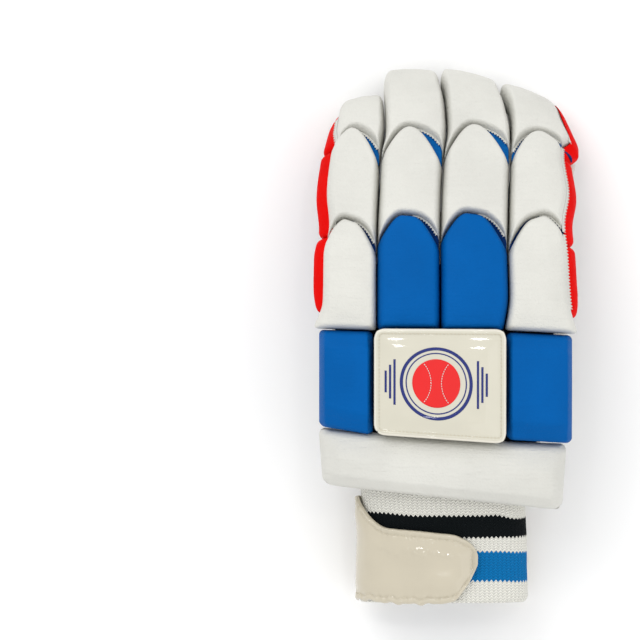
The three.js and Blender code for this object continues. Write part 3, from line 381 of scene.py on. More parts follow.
class BackLine:
    """The middle of a finger's back seen from the side: bends over the knuckles, then to a round fingertip."""

    def __init__(self, index):
        finger = FINGERS[NAMES[index]]
        reach = finger["tip"] * FINGER_REACH
        sides = [float(column(GROOVES, f"g{k}", finger["tip"])) for k in (index, index + 1)]
        self.x = sum(sides) * HALF / 2
        self.radius = STALL_DEPTH / 2
        self.tuck = finger["tuck"]
        dome_y, dome_z = reach - self.radius - 10.0, self.radius + finger["lift"] + arch_drop(self.x)
        root = bend(0, BACK_HEIGHT, 0, KNUCKLE_RADIUS, ROOT_REACH)
        cos, sin = math.cos(root[2]), math.sin(root[2])
        ahead = (dome_y - root[0]) * cos - (dome_z - root[1]) * sin
        fall = -(dome_y - root[0]) * sin - (dome_z - root[1]) * cos - self.radius
        inner = (ahead**2 + fall**2) / (2 * fall)
        turn = math.atan2(ahead, inner - fall)
        finger_radius = inner + self.radius
        self.dome_start = ROOT_REACH + finger_radius * turn
        end = bend(*root, finger_radius, finger_radius * turn)
        self.tip_end = self.dome_start + self.radius * TIP_TURN
        self.arcs = [
            (-HEEL_BEND_START, -HEEL_BEND_START, BACK_HEIGHT, 0.0, HEEL_RADIUS),
            (-HEEL_BEND_START, -HEEL_BEND_START, BACK_HEIGHT, 0.0, 1e9),
            (0.0, 0.0, BACK_HEIGHT, 0.0, KNUCKLE_RADIUS),
            (ROOT_REACH, *root, finger_radius),
            (self.dome_start, *end, self.radius),
        ]
        self.sample = np.linspace(-1.6 * HEEL_REACH, self.dome_start + self.radius, 3000)

    def at(self, s):
        """y, z and dip at each distance s."""
        s = np.asarray(s, float)
        parts = [bend(y, z, pitch, radius, s - start) for start, y, z, pitch, radius in self.arcs]
        later = [s < self.arcs[1][0], s < 0, s < ROOT_REACH, s < self.dome_start]
        return tuple(np.select(later, [p[k] for p in parts[:4]], parts[4][k]) for k in range(3))

    def along(self, y, n=0.0):
        """The distance along the back that is seen from above at y, n over it."""
        seen, _, pitch = self.at(self.sample)
        return np.interp(y, seen + n * np.sin(pitch), self.sample)


LINES = [BackLine(i) for i in range(4)]
HAND_LINE = LINES[2]


def tucked(line, x, s):
    """How far a fingertip's side falls back, eased in over its last quarter."""
    share = smooth((s - line.dome_start * 0.72) / (line.dome_start * 0.28))
    return line.tuck * share * (x - line.x)


def over_back(line, x, s, n):
    """Points over the back: the back line's point, plus n along its upright, less the arch's drop."""
    x, s, n = arrays(x, s, n)
    y, z, pitch = line.at(s)
    return np.stack([x, y + n * np.sin(pitch) + tucked(line, x, s), z + n * np.cos(pitch) - arch_drop(x)], -1)


def walled(line, x, s, n, thickness):
    """A thin cloth over the back, as a mesh: its face at n and its underside lower by the thickness."""
    return two_skins(over_back(line, x, s, n), over_back(line, x, s, n - thickness))


def stall_span(index, s):
    """Edges of a finger stall on its back and palm sides, its depth, and how square its section is."""
    line = LINES[index]
    s = np.asarray(s, float)
    at = line.at(np.minimum(s, line.dome_start))[0] / FINGER_REACH
    clear = GROOVE_GAP / 2 + SEAM_GAP
    left = column(GROOVES, f"g{index}", at) * HALF + clear
    right = column(GROOVES, f"g{index + 1}", at) * HALF - clear
    out = smooth((s - ROOT_REACH) / (line.dome_start - ROOT_REACH))
    centre, half = (left + right) / 2, (right - left) / 2
    return dict(
        back=(centre, half), palm=(centre * mix(0.8, 1, out), half * mix(0.8, 0.9, out)),
        depth=mix(PALM_DEPTH - 1, STALL_DEPTH, out), square=mix(6, 2.7, smooth((s - ROOT_REACH) / 16)),
    )


def on_stall(index, s, angle, offset):
    """A finger stall's skin: a superellipse round the back line, closed by a quarter circle at the tip."""
    line = LINES[index]
    s, angle, offset = arrays(s, angle, offset)
    span = stall_span(index, s)
    over = np.minimum(np.maximum(0, s - line.dome_start) / line.radius, math.pi / 2)
    shrink = np.cos(over)
    across, up = section(angle, span["square"])
    centre, half = (mix(span["palm"][k], span["back"][k], (up + 1) / 2) for k in (0, 1))
    x = centre + across * (half + offset) * shrink
    y, z, pitch = line.at(np.minimum(s, line.dome_start))
    m = -span["depth"] / 2 + up * (span["depth"] / 2 + offset) * shrink
    ahead = (line.radius + offset) * np.sin(over)
    return np.stack([
        x,
        y + m * np.sin(pitch) + ahead * np.cos(pitch) + tucked(line, x, s),
        z + m * np.cos(pitch) - ahead * np.sin(pitch) - arch_drop(x),
    ], -1)


def hand_sides(at, level):
    """Left and right sides of the hand, from its palm at level 0 to its back at level 1."""
    return [mix(column(HAND, f"palm_{side}", at), column(HAND, f"back_{side}", at), level) * HALF
            for side in ("left", "right")]


def on_hand(s, angle, offset):
    """The hand's skin: a superellipse under the back line, wider at the back than at the palm."""
    s, angle, offset = arrays(s, angle, offset)
    at = s / HEEL_REACH
    across, up = section(angle, column(HAND, "square", at))
    left, right = hand_sides(at, (up + 1) / 2)
    depth = column(HAND, "depth", at) * PALM_DEPTH
    x = (left + right) / 2 + across * ((right - left) / 2 + offset)
    y, z, pitch = HAND_LINE.at(s)
    m = -depth / 2 + up * (depth / 2 + offset)
    return np.stack([x, y + m * np.sin(pitch), z + m * np.cos(pitch) - arch_drop(x)], -1)


CUFF_CENTRE = (HAND["palm_left"][0] + HAND["palm_right"][0]) / 2 * HALF
CUFF_START = float(HAND_LINE.at(-HEEL_REACH)[0]) - SEAM_GAP
CUFF_LENGTH = CUFF_REACH + CUFF_START
CUFF_SHIFT = 1.4


def on_cuff(at, angle, offset):
    """The wristband's skin: a superellipse that widens and sinks from the heel seam to the open end."""
    at, angle, offset = arrays(at, angle, offset)
    across, up = section(angle, column(CUFF, "square", at))
    half = column(CUFF, "width", at) * CUFF_WIDTH / 2 + offset
    half_depth = column(CUFF, "depth", at) * CUFF_DEPTH / 2
    middle = column(CUFF, "top", at) * CUFF_BACK_HEIGHT - half_depth
    x = CUFF_CENTRE + CUFF_SHIFT * smooth(at / 0.5) + across * half
    return np.stack([x, mix(CUFF_START, -CUFF_REACH, at), middle + up * (half_depth + offset)], -1)


THUMB_CURVE, THUMB_HEADING, THUMB_LENGTH = curve_through(
    np.stack([
        np.array(THUMB_LINE["across"]) * HALF,
        np.array(THUMB_LINE["along"]) * FINGER_REACH,
        np.array(THUMB_LINE["height"]) * (BACK_HEIGHT - PALM_DEPTH),
    ], -1), 400)
THUMB_JOINT = THUMB_LENGTH * 0.56


def thumb_axes(heading):
    """Side and upright of the thumb's section: level across its heading, and square to both."""
    side = unit(np.cross(heading, [0, 0, 1.0]))
    return side, np.cross(side, heading)


def thumb_half_width(t):
    """Half the thumb's width at a share of its length: it widens over the first half."""
    return mix(0.8, 1, smooth(t * 2.2)) * THUMB_WIDTH / 2


def on_thumb(s, angle, offset):
    """The thumb's skin: a superellipse round its curved middle line, closed by a round tip."""
    s, angle, offset = arrays(s, angle, offset)
    t = np.clip(s / THUMB_LENGTH, 0, 1)
    station = np.linspace(0, 1, len(THUMB_CURVE))
    centre, ahead = sampled(THUMB_CURVE, station, t), sampled(THUMB_HEADING, station, t)
    side, up = thumb_axes(ahead)
    over = np.minimum(np.maximum(0, s - THUMB_LENGTH) / THUMB_TIP, math.pi / 2)
    across, height = section(angle, THUMB_SQUARE)
    across = across * (thumb_half_width(t) + offset) * np.cos(over)
    height = height * (THUMB_HEIGHT / 2 + offset) * np.cos(over)
    forward = (THUMB_TIP + offset) * np.sin(over)
    return centre + side * across[..., None] + up * height[..., None] + ahead * forward[..., None]


def frame_shift():
    """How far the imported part's frame lies from these formulas: the back panel's corner in both."""
    s, angle = grid(np.linspace(-HEEL_REACH, ROOT_REACH, 7), np.linspace(*BACK_PANEL, 9))
    skins = [on_hand(s, angle, offset).reshape(-1, 3).min(0) for offset in (0.0, -KNIT_WALL)]
    return np.array(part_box("back_panel")[0]) * MM - np.minimum(*skins)


SHIFT = frame_shift()


# Meshes


def grid_quads(index):
    """Four-sided faces of a grid of point numbers."""
    return np.stack([index[:-1, :-1], index[1:, :-1], index[1:, 1:], index[:-1, 1:]], -1).reshape(-1, 4)


def ring_index(rings, sides):
    """Point numbers of rings in a row, each closed on its first point."""
    index = np.arange(rings * sides).reshape(rings, sides)
    return np.concatenate([index, index[:, :1]], axis=1)


def two_skins(outer, inner, closed=False, keep=None):
    """A wall between two grids of points: both skins, and a rim along every open edge. keep drops the points
    where it is false, such as a thumb hole."""
    rows, cols = outer.shape[:2]
    count = rows * cols
    quads = grid_quads(ring_index(rows, cols) if closed else np.arange(count).reshape(rows, cols))
    if keep is not None:
        quads = quads[keep.reshape(-1)[quads].all(axis=1)]
    edges = np.concatenate([quads[:, [k, (k + 1) % 4]] for k in range(4)])
    key = edges.min(axis=1) * count + edges.max(axis=1)
    _, first, times = np.unique(key, return_index=True, return_counts=True)
    open_edges = edges[first[times == 1]]
    rim = np.stack([open_edges[:, 1], open_edges[:, 0], open_edges[:, 0] + count, open_edges[:, 1] + count], -1)
    points = np.concatenate([outer.reshape(-1, 3), inner.reshape(-1, 3)])
    return points, np.concatenate([quads, quads[:, ::-1] + count, rim])


def on_both(u, v):
    """UV for both skins of a wall."""
    return np.concatenate([np.stack(np.broadcast_arrays(u, v), -1).reshape(-1, 2)] * 2)


def pillow(top, bottom):
    """One closed skin from two grids that share their border."""
    rows, cols = top.shape[:2]
    upper = np.arange(rows * cols).reshape(rows, cols)
    lower = upper.copy()
    lower[1:-1, 1:-1] = rows * cols + np.arange((rows - 2) * (cols - 2)).reshape(rows - 2, cols - 2)
    points = np.concatenate([top.reshape(-1, 3), bottom[1:-1, 1:-1].reshape(-1, 3)])
    return points, np.concatenate([grid_quads(upper), grid_quads(lower)[:, ::-1]])


def outward(points, quads):
    """Turns every face over if the skin's signed volume comes out negative."""
    a, b, c, d = (points[quads[:, k]] for k in range(4))
    volume = np.einsum("ij,ij->", a, np.cross(b, c)) + np.einsum("ij,ij->", a, np.cross(c, d))
    return quads[:, ::-1] if volume < 0 else quads


TABLE_CLEARANCE = 0.02
WELD = 0.002


def put_mesh(name, points, quads, material, uv=None, weld=0.0):
    """Makes a mesh object from points in millimetres and four-sided faces, with no point under the table."""
    quads = outward(points, quads)
    points = np.maximum(points, [-np.inf, -np.inf, TABLE_CLEARANCE - SHIFT[2]])
    used, compact = np.unique(quads, return_inverse=True)
    quads = compact.reshape(quads.shape)
    mesh = bpy.data.meshes.new(name)
    mesh.from_pydata(((points[used] + SHIFT) / MM).tolist(), [], quads.tolist())
    if uv is not None:
        layer = mesh.uv_layers.new(name="surface")
        corner = np.zeros(len(mesh.loops), np.int32)
        mesh.loops.foreach_get("vertex_index", corner)
        layer.data.foreach_set("uv", uv.reshape(-1, 2)[used][corner].astype(np.float32).reshape(-1))
    if weld:
        edit = bmesh.new()
        edit.from_mesh(mesh)
        bmesh.ops.remove_doubles(edit, verts=edit.verts, dist=weld / MM)
        edit.to_mesh(mesh)
        edit.free()
    mesh.polygons.foreach_set("use_smooth", np.full(len(mesh.polygons), True))
    mesh.materials.append(material)
    piece = bpy.data.objects.new(name, mesh)
    bpy.context.scene.collection.objects.link(piece)
    return piece


def add(name, mesh, look, slot, replaces=(), fill=None, **options):
    """Makes a piece, fixes it to the glove, and hides the parts that it replaces. The slot, what it stands for, and
    fill, whether it is padded, are not used.
    """
    piece = put_mesh(name, *mesh, finish(look), **options)
    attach(piece, "root")
    if replaces:
        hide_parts(*replaces)
    return piece


def copies(shape, quads, origins, axes):
    """Many copies of a small shape: each is its points times three axes, moved to an origin."""
    points = origins[:, None] + np.einsum("pk,nkj->npj", shape, axes)
    steps = (np.arange(len(origins)) * len(shape))[:, None, None]
    return points.reshape(-1, 3), (quads[None] + steps).reshape(-1, 4)


def joined(parts):
    """Several point and face lists as one."""
    points, quads, start = [], [], 0
    for p, q in parts:
        points.append(p)
        quads.append(q + start)
        start += len(p)
    return np.concatenate(points), np.concatenate(quads)


def bead(sides=5, rings=5):
    """A stitch: a spindle along x with rounded ends, one unit long and one thick."""
    turn = np.linspace(0, 2 * math.pi, sides, endpoint=False)
    along = np.linspace(-1, 1, rings)
    swell = np.sqrt(np.clip(1 - along**4, 0.02, 1)) / 2
    points = np.stack([
        np.repeat(along / 2, sides), np.outer(swell, np.cos(turn)).ravel(), np.outer(swell, np.sin(turn)).ravel(),
    ], -1)
    return points, grid_quads(ring_index(rings, sides))


STITCH_SHARE = 0.72
STITCH_SINK = 0.12


def stitched(line, upright, pitch, thickness=0.55):
    """A row of stitches along a line on a surface: one bead for each pitch, lying along the line's heading."""
    reach = run(line)
    count = max(2, int(reach[-1] / pitch))
    at = (np.arange(count) + 0.5) * reach[-1] / count
    middle, front, back = (sampled(line, reach, at + step) for step in (0, 0.3, -0.3))
    along = unit(front - back)
    side = unit(np.cross(sampled(upright, reach, at), along))
    up = np.cross(along, side)
    axes = np.stack([along * STITCH_SHARE * pitch, side * thickness, up * thickness], 1)
    return copies(*bead(), middle + up * (thickness / 2 - STITCH_SINK), axes)


def uprights(point, s, angle, offset):
    """Outward normals of one of the skins: the difference of two offsets."""
    return unit(point(s, angle, offset + 0.5) - point(s, angle, offset - 0.5))


def stitched_on(point, s, angle, offset, pitch, thickness=0.55):
    """A row of stitches on one of the skins, along paired stations and angles."""
    s, angle = arrays(s, angle)
    return stitched(point(s, angle, offset), uprights(point, s, angle, offset), pitch, thickness)


def round_cord(line, radius, upright, sides=10, squash=1.0):
    """A cord along a line, with closed ends that draw in to a point."""
    heading = unit(np.gradient(line, axis=0))
    side = unit(np.cross(upright, heading))
    up = np.cross(heading, side)
    station = np.linspace(0, 1, len(line))
    ends = np.sqrt(np.clip(1 - (1 - np.minimum(station, 1 - station) / 0.03).clip(0, 1) ** 2, 1e-6, 1))
    turn = np.linspace(0, 2 * math.pi, sides, endpoint=False)
    ring = (np.cos(turn)[None, :, None] * side[:, None] + np.sin(turn)[None, :, None] * up[:, None] * squash)
    points = line[:, None] + ring * (radius * ends)[:, None, None]
    return points.reshape(-1, 3), grid_quads(ring_index(len(line), sides))


# Materials


def new_node(tree, kind, **settings):
    """A node with its options and unlinked inputs set."""
    node = tree.nodes.new(kind)
    for key, value in settings.items():
        if hasattr(node, key):
            setattr(node, key, value)
        else:
            node.inputs[key.replace("_", " ")].default_value = value
    return node


def linked(tree, *pairs):
    """Links each pair's output to its input."""
    for source, target in pairs:
        tree.links.new(source, target)


def math_node(tree, operation, first, second=None):
    """One sum: inputs may be sockets or numbers."""
    node = tree.nodes.new("ShaderNodeMath")
    node.operation = operation
    for socket, value in zip(node.inputs, (first, second)):
        if isinstance(value, (int, float)):
            socket.default_value = value
        elif value is not None:
            tree.links.new(value, socket)
    return node.outputs[0]


def new_group(name, inputs, outputs):
    """A shader group with named sockets. An input's kind follows from its value: a number, a colour or a vector."""
    tree = bpy.data.node_groups.new(name, "ShaderNodeTree")
    for label, value in inputs.items():
        kind = "Float" if isinstance(value, float) else "Color" if value else "Vector"
        socket = tree.interface.new_socket(label, in_out="INPUT", socket_type=f"NodeSocket{kind}")
        if value is not None:
            socket.default_value = value
    for label, kind in outputs.items():
        tree.interface.new_socket(label, in_out="OUTPUT", socket_type=f"NodeSocket{kind}")
    return tree, tree.nodes.new("NodeGroupInput").outputs, tree.nodes.new("NodeGroupOutput").inputs


def leather_grain(name):
    """Pebbled grain and fine creases: two scales of cells and noise, and noise drawn out across the hand."""
    tree, given, result = new_group(
        name, {"Vector": None, "Pebbles": 900.0, "Crease Amount": 0.4}, {"Height": "Float", "Mottle": "Float"})
    cells = new_node(tree, "ShaderNodeTexVoronoi", feature="SMOOTH_F1", Smoothness=0.4)
    noise = new_node(tree, "ShaderNodeTexNoise", Detail=5.0, Roughness=0.6)
    drawn = new_node(tree, "ShaderNodeVectorMath", operation="MULTIPLY")
    drawn.inputs[1].default_value = (0.35, 2.6, 1.0)
    creases = new_node(tree, "ShaderNodeTexNoise", Scale=210.0, Detail=6.0, Roughness=0.62, Distortion=0.35)
    mottle = new_node(tree, "ShaderNodeTexNoise", Scale=28.0, Detail=4.0, Roughness=0.55)
    crease = math_node(tree, "MULTIPLY", creases.outputs[0], given["Crease Amount"])
    pebble = math_node(tree, "MULTIPLY", cells.outputs["Distance"], 0.5)
    fine = math_node(tree, "MULTIPLY", noise.outputs[0], 0.5)
    linked(
        tree, *((given["Vector"], node.inputs[0]) for node in (cells, noise, mottle, drawn)),
        (given["Pebbles"], cells.inputs["Scale"]),
        (math_node(tree, "MULTIPLY", given["Pebbles"], 0.45), noise.inputs["Scale"]),
        (drawn.outputs[0], creases.inputs["Vector"]),
        (math_node(tree, "ADD", math_node(tree, "ADD", pebble, fine), crease), result["Height"]),
        (mottle.outputs[0], result["Mottle"]))
    return tree


def worn_tone(name):
    """Blends two tones of a colour by a mottled mask, the way handled leather or cloth greys."""
    tree, given, result = new_group(
        name, {"Mottle": 0.5, "Clean": (1, 1, 1, 1), "Worn": (0.8, 0.8, 0.8, 1)}, {"Color": "Color"})
    spread = new_node(tree, "ShaderNodeMapRange", From_Min=0.35, From_Max=0.75)
    blend = new_node(tree, "ShaderNodeMix", data_type="RGBA")
    linked(
        tree, (given["Mottle"], spread.inputs["Value"]), (spread.outputs[0], blend.inputs[0]),
        (given["Clean"], blend.inputs[6]), (given["Worn"], blend.inputs[7]), (blend.outputs[2], result["Color"]))
    return tree


def knit_loops(name):
    """Rows of V-shaped loops from UV: ribs across, and loops that lean into each rib along it. Shade is painted shade:
    darker in the gaps between loops and ribs, lighter on their crowns.
    """
    tree, given, result = new_group(
        name, {"Vector": None, "Ribs": 96.0, "Loops": 60.0}, {"Height": "Float", "Shade": "Float"})
    split = new_node(tree, "ShaderNodeSeparateXYZ")
    ribs = math_node(tree, "MULTIPLY", split.outputs[0], given["Ribs"])
    lean = math_node(tree, "MULTIPLY", math_node(tree, "PINGPONG", ribs, 0.5), 1.4)
    loops = math_node(tree, "ADD", math_node(tree, "MULTIPLY", split.outputs[1], given["Loops"]), lean)
    round_rib = math_node(tree, "ABSOLUTE", math_node(tree, "SINE", math_node(tree, "MULTIPLY", ribs, math.pi)))
    wave = math_node(tree, "SINE", math_node(tree, "MULTIPLY", loops, 2 * math.pi))
    rise = math_node(tree, "ADD", math_node(tree, "MULTIPLY", wave, 0.6), math_node(tree, "MULTIPLY", round_rib, 0.45))
    # Painted shade: the loops' height turned into a darkening of the colour in their gaps
    shade = math_node(tree, "MULTIPLY", math_node(tree, "ADD", rise, 0.3), 0.77)
    linked(tree, (given["Vector"], split.inputs[0]), (rise, result["Height"]), (shade, result["Shade"]))
    return tree


def toothed_edge(name):
    """Shifts a position by small teeth, so that the edge of a stripe comes out as a zigzag."""
    tree, given, result = new_group(
        name, {"Position": 0.0, "Across": 0.0, "Teeth": 96.0, "Depth": 0.02}, {"Position": "Float"})
    saw = math_node(tree, "PINGPONG", math_node(tree, "MULTIPLY", given["Across"], given["Teeth"]), 0.5)
    shift = math_node(tree, "MULTIPLY", math_node(tree, "SUBTRACT", saw, 0.25), given["Depth"])
    linked(tree, (math_node(tree, "ADD", given["Position"], shift), result["Position"]))
    return tree


GROUPS = {"leather grain": leather_grain, "worn tone": worn_tone, "knit loops": knit_loops,
          "toothed edge": toothed_edge}


def placed(tree, group_name, **values):
    """A shared group in a material, made when it is first asked for, with its own values."""
    node = new_node(tree, "ShaderNodeGroup")
    node.node_tree = bpy.data.node_groups.get(group_name) or GROUPS[group_name](group_name)
    for label, value in values.items():
        node.inputs[label.replace("_", " ")].default_value = value
    return node


def plain_shader(name, roughness, **sockets):
    """A material with its Principled shader ready and its constant values set on the shader."""
    material = bpy.data.materials.new(name)
    material.use_nodes = True
    shader = material.node_tree.nodes["Principled BSDF"]
    for label, value in dict(sockets, Roughness=roughness).items():
        shader.inputs[label.replace("_", " ")].default_value = value
    return material, material.node_tree, shader


def toned(shaded, colour, worn, texture, mask, height, bump, depth=0.0006):
    """Fills in a material from Object coordinates: two tones of a colour by a texture's mask, and a bump by its
    height."""
    material, tree, shader = shaded
    where = new_node(tree, "ShaderNodeTexCoord")
    tone = placed(tree, "worn tone", Clean=(*colour, 1.0), Worn=(*(c * worn for c in colour), 1.0))
    relief = new_node(tree, "ShaderNodeBump", Strength=bump, Distance=depth)
    linked(
        tree, (where.outputs["Object"], texture.inputs["Vector"]), (mask, tone.inputs["Mottle"]),
        (tone.outputs["Color"], shader.inputs["Base Color"]), (height, relief.inputs["Height"]),
        (relief.outputs[0], shader.inputs["Normal"]))
    return material


def leather(name, colour, worn, roughness, crease, bump, shine, pebbles=900.0):
    """Coated or soft leather: mottled tone, pebbled grain, and creases across the hand."""
    shaded = plain_shader(name, roughness, Specular_IOR_Level=shine)
    grain = placed(shaded[1], "leather grain", Pebbles=pebbles, Crease_Amount=crease)
    return toned(shaded, colour, worn, grain, grain.outputs["Mottle"], grain.outputs["Height"], bump)


def moulded(name, colour, waves, coat=0.8):
    """Glossy moulded plastic: a clear coat over a faintly uneven surface."""
    shaded = plain_shader(name, 0.4, Specular_IOR_Level=0.3, Coat_Weight=coat, Coat_Roughness=0.05)
    uneven = new_node(shaded[1], "ShaderNodeTexNoise", Scale=55.0, Detail=2.0)
    return toned(shaded, colour, 0.95, uneven, uneven.outputs[0], uneven.outputs[0], waves, 0.001)


def cloth(name, colour, scale=700.0, roughness=0.9, worn=0.7):
    """Plain cloth, thread or towelling: tone and height from one fine noise."""
    shaded = plain_shader(name, roughness, Specular_IOR_Level=0.15)
    pile = new_node(shaded[1], "ShaderNodeTexNoise", Scale=scale, Detail=4.0, Roughness=0.7)
    return toned(shaded, colour, worn, pile, pile.outputs[0], pile.outputs[0], 0.5)


def striped_knit(name, stripes, ribs, loops, tooth_depth):
    """Knitted cloth from UV: stripes along V with toothed edges, darkened by painted shade in the gaps between its
    loops.
    """
    material, tree, shader = plain_shader(name, 0.95, Specular_IOR_Level=0.12)
    where = new_node(tree, "ShaderNodeUVMap", uv_map="surface")
    split = new_node(tree, "ShaderNodeSeparateXYZ")
    edge = placed(tree, "toothed edge", Teeth=ribs, Depth=tooth_depth)
    ramp = new_node(tree, "ShaderNodeValToRGB")
    ramp.color_ramp.interpolation = "CONSTANT"
    while len(ramp.color_ramp.elements) < len(stripes):
        ramp.color_ramp.elements.new(0.5)
    for element, (start, colour) in zip(ramp.color_ramp.elements, stripes):
        element.position = start
        element.color = (*colour, 1.0)
    loop = placed(tree, "knit loops", Ribs=ribs, Loops=loops)
    # Multiplies the stripes' colour by the painted shade of the loops
    shade = new_node(tree, "ShaderNodeMix", data_type="RGBA", blend_type="MULTIPLY")
    shade.inputs[0].default_value = 0.27
    fuzz = new_node(tree, "ShaderNodeTexNoise", Scale=1400.0, Detail=3.0)
    place = new_node(tree, "ShaderNodeTexCoord")
    relief = new_node(tree, "ShaderNodeBump", Strength=0.6, Distance=0.0007)
    rise = math_node(tree, "ADD", loop.outputs["Height"], math_node(tree, "MULTIPLY", fuzz.outputs[0], 0.5))
    linked(
        tree, (where.outputs[0], split.inputs[0]), (split.outputs[0], edge.inputs["Across"]),
        (split.outputs[1], edge.inputs["Position"]), (edge.outputs[0], ramp.inputs[0]),
        (where.outputs[0], loop.inputs["Vector"]), (ramp.outputs[0], shade.inputs[6]),
        (loop.outputs["Shade"], shade.inputs[7]), (shade.outputs[2], shader.inputs["Base Color"]),
        (place.outputs["Object"], fuzz.inputs["Vector"]), (rise, relief.inputs["Height"]),
        (relief.outputs[0], shader.inputs["Normal"]))
    return material


# Materials by name: how each is made and its values. Without a colour of its own it has the panel's.
MATERIALS = {
    "white leather": (leather, dict(worn=0.9, roughness=0.55, crease=1.5, bump=0.6, shine=0.35)),
    "blue leather": (leather, dict(worn=0.86, roughness=0.58, crease=1.3, bump=0.45, shine=0.05)),
    "red leather": (leather, dict(worn=0.8, roughness=0.58, crease=0.7, bump=0.35, shine=0.04)),
    "palm leather": (leather, dict(worn=0.86, roughness=0.62, crease=1.1, bump=0.6, shine=0.3, pebbles=700.0)),
    "cream gloss": (moulded, dict(waves=0.15)),
    "strap gloss": (moulded, dict(waves=0.5)),
    # The rim's cord: the plate's cream painted lighter, a painted highlight along the rim
    "pale gloss": (moulded, dict(colour=(0.7, 0.67, 0.58), waves=0.1)),
    "white gloss": (moulded, dict(colour=(0.72, 0.71, 0.67), waves=0.1)),
    "navy print": (moulded, dict(colour=(0.001, 0.012, 0.15), waves=0.05, coat=0.4)),
    "red print": (moulded, dict(colour=(0.72, 0.001, 0.001), waves=0.05, coat=0.4)),
    "cream thread": (cloth, dict(colour=(0.62, 0.57, 0.45), scale=1500.0, roughness=0.6, worn=0.9)),
    "white thread": (cloth, dict(colour=(0.74, 0.73, 0.69), scale=1500.0, roughness=0.7, worn=0.85)),
    "grey thread": (cloth, dict(colour=(0.36, 0.35, 0.33), scale=1500.0, roughness=0.7, worn=0.85)),
    "blue thread": (cloth, dict(colour=(0.02, 0.16, 0.5), scale=1500.0, roughness=0.7, worn=0.85)),
    "blue lining": (cloth, dict(colour=(0.0, 0.12, 0.42))),
    "navy lining": (cloth, dict(colour=(0.0, 0.025, 0.13))),
    # The air holes' near-black is painted shade for the inside of a hole
    "dark hole": (cloth, dict(colour=(0.02, 0.02, 0.022))),
    "white net": (cloth, dict(colour=(0.74, 0.73, 0.68), scale=1800.0, roughness=0.85, worn=0.85)),
    "net backing": (cloth, dict(colour=(0.5, 0.49, 0.45), scale=900.0, roughness=0.95, worn=0.8)),
}
# Knits by name: loops along one unit of V, depth of the stripes' teeth, where each stripe starts, and its colour
KNITS = {
    "dark knit": (40.0, 0.0, [(0.0, "dark"), (1.0, "dark")]),
    "finger knit": (12.0, 0.03, [(0.0, "white"), (0.08, "black"), (0.24, "white"), (0.36, "blue"), (0.68, "white")]),
    "wristband knit": (
        42.0, 0.042, [(0.0, "white"), (0.235, "black"), (0.425, "white"), (0.555, "blue"), (0.805, "white")]),
}
KNIT_RIBS = {"dark knit": 60, "finger knit": 40}


def finish(name):
    """A material by name, made when it is first asked for."""
    if name in bpy.data.materials:
        return bpy.data.materials[name]
    colours, sizes = bpy.context.scene.glove_colours, bpy.context.scene.glove_sizes
    if name in KNITS:
        loops, tooth_depth, stripes = KNITS[name]
        stripes = [(start, tuple(getattr(colours, f"knit_{tone}"))) for start, tone in stripes]
        return striped_knit(name, stripes, float(KNIT_RIBS.get(name, sizes.ribs)), loops, tooth_depth)
    make, values = MATERIALS[name]
    if "colour" not in values:
        values = dict(values, colour=tuple(getattr(colours, name.replace(" ", "_"))))
    return make(name, **values)


# Rolls and pads


def bell(left_foot, right_foot, crown, flanks, powers):
    """The edge where rolls nest: a straight line between two feet, raised to a crown by quarter sine waves, each to
    its power."""
    rise = crown - (left_foot[1] + right_foot[1]) / 2

    def edge(t):
        near, far = np.minimum(t / flanks[0], 1), np.minimum((1 - t) / flanks[1], 1)
        lift = np.sin(np.pi / 2 * near.clip(0)) ** powers[0] * np.sin(np.pi / 2 * far.clip(0)) ** powers[1]
        return np.stack([mix(left_foot[0], right_foot[0], t), mix(left_foot[1], right_foot[1], t) + rise * lift], -1)

    return edge


def drawn(edge, start, end):
    """A roll's side as a line of x and s, between two stations."""
    return lambda t: np.stack([edge(mix(start, end, t)), mix(start, end, t)], -1)


def patch(rear, front, left, right, a, b):
    """Coons patch: both pairs of edges blended, less the corners blended twice."""
    a, b = a[..., None], b[..., None]
    corner = lambda edge, t: edge(np.array(float(t)))
    across, along = (1 - b) * rear(a[..., 0]) + b * front(a[..., 0]), (1 - a) * left(b[..., 0]) + a * right(b[..., 0])
    twice = (1 - a) * (1 - b) * corner(rear, 0) + a * (1 - b) * corner(rear, 1)
    return across + along - twice - (1 - a) * b * corner(front, 0) - a * b * corner(front, 1)


def to_outline(points, outline):
    """Distance of each point from a line of short stretches."""
    a, b = outline[:-1], outline[1:]
    span = b - a
    length = np.maximum((span**2).sum(-1), 1e-9)
    away = points[..., None, :] - a
    t = np.clip((away * span).sum(-1) / length, 0, 1)
    return np.linalg.norm(away - t[..., None] * span, axis=-1).min(-1)


def shoulder(distance, width, power=2.7):
    """Share of a pad's height near its edge: a superellipse quarter of that width."""
    inward = 1 - np.clip(distance / width, 0, 1)
    return (1 - inward**power) ** (1 / power)


def rim_share(t, reach):
    """Distance from the nearer end, for a share t of that reach."""
    return np.minimum(t, 1 - t) * reach


def chamfer(distance, width, share):
    """A nearly flat slope inside the rounded edge: falls by that share of the height over the width."""
    return 1 - share * (1 - np.clip(distance / width, 0, 1)) ** 1.08 if width else 1.0


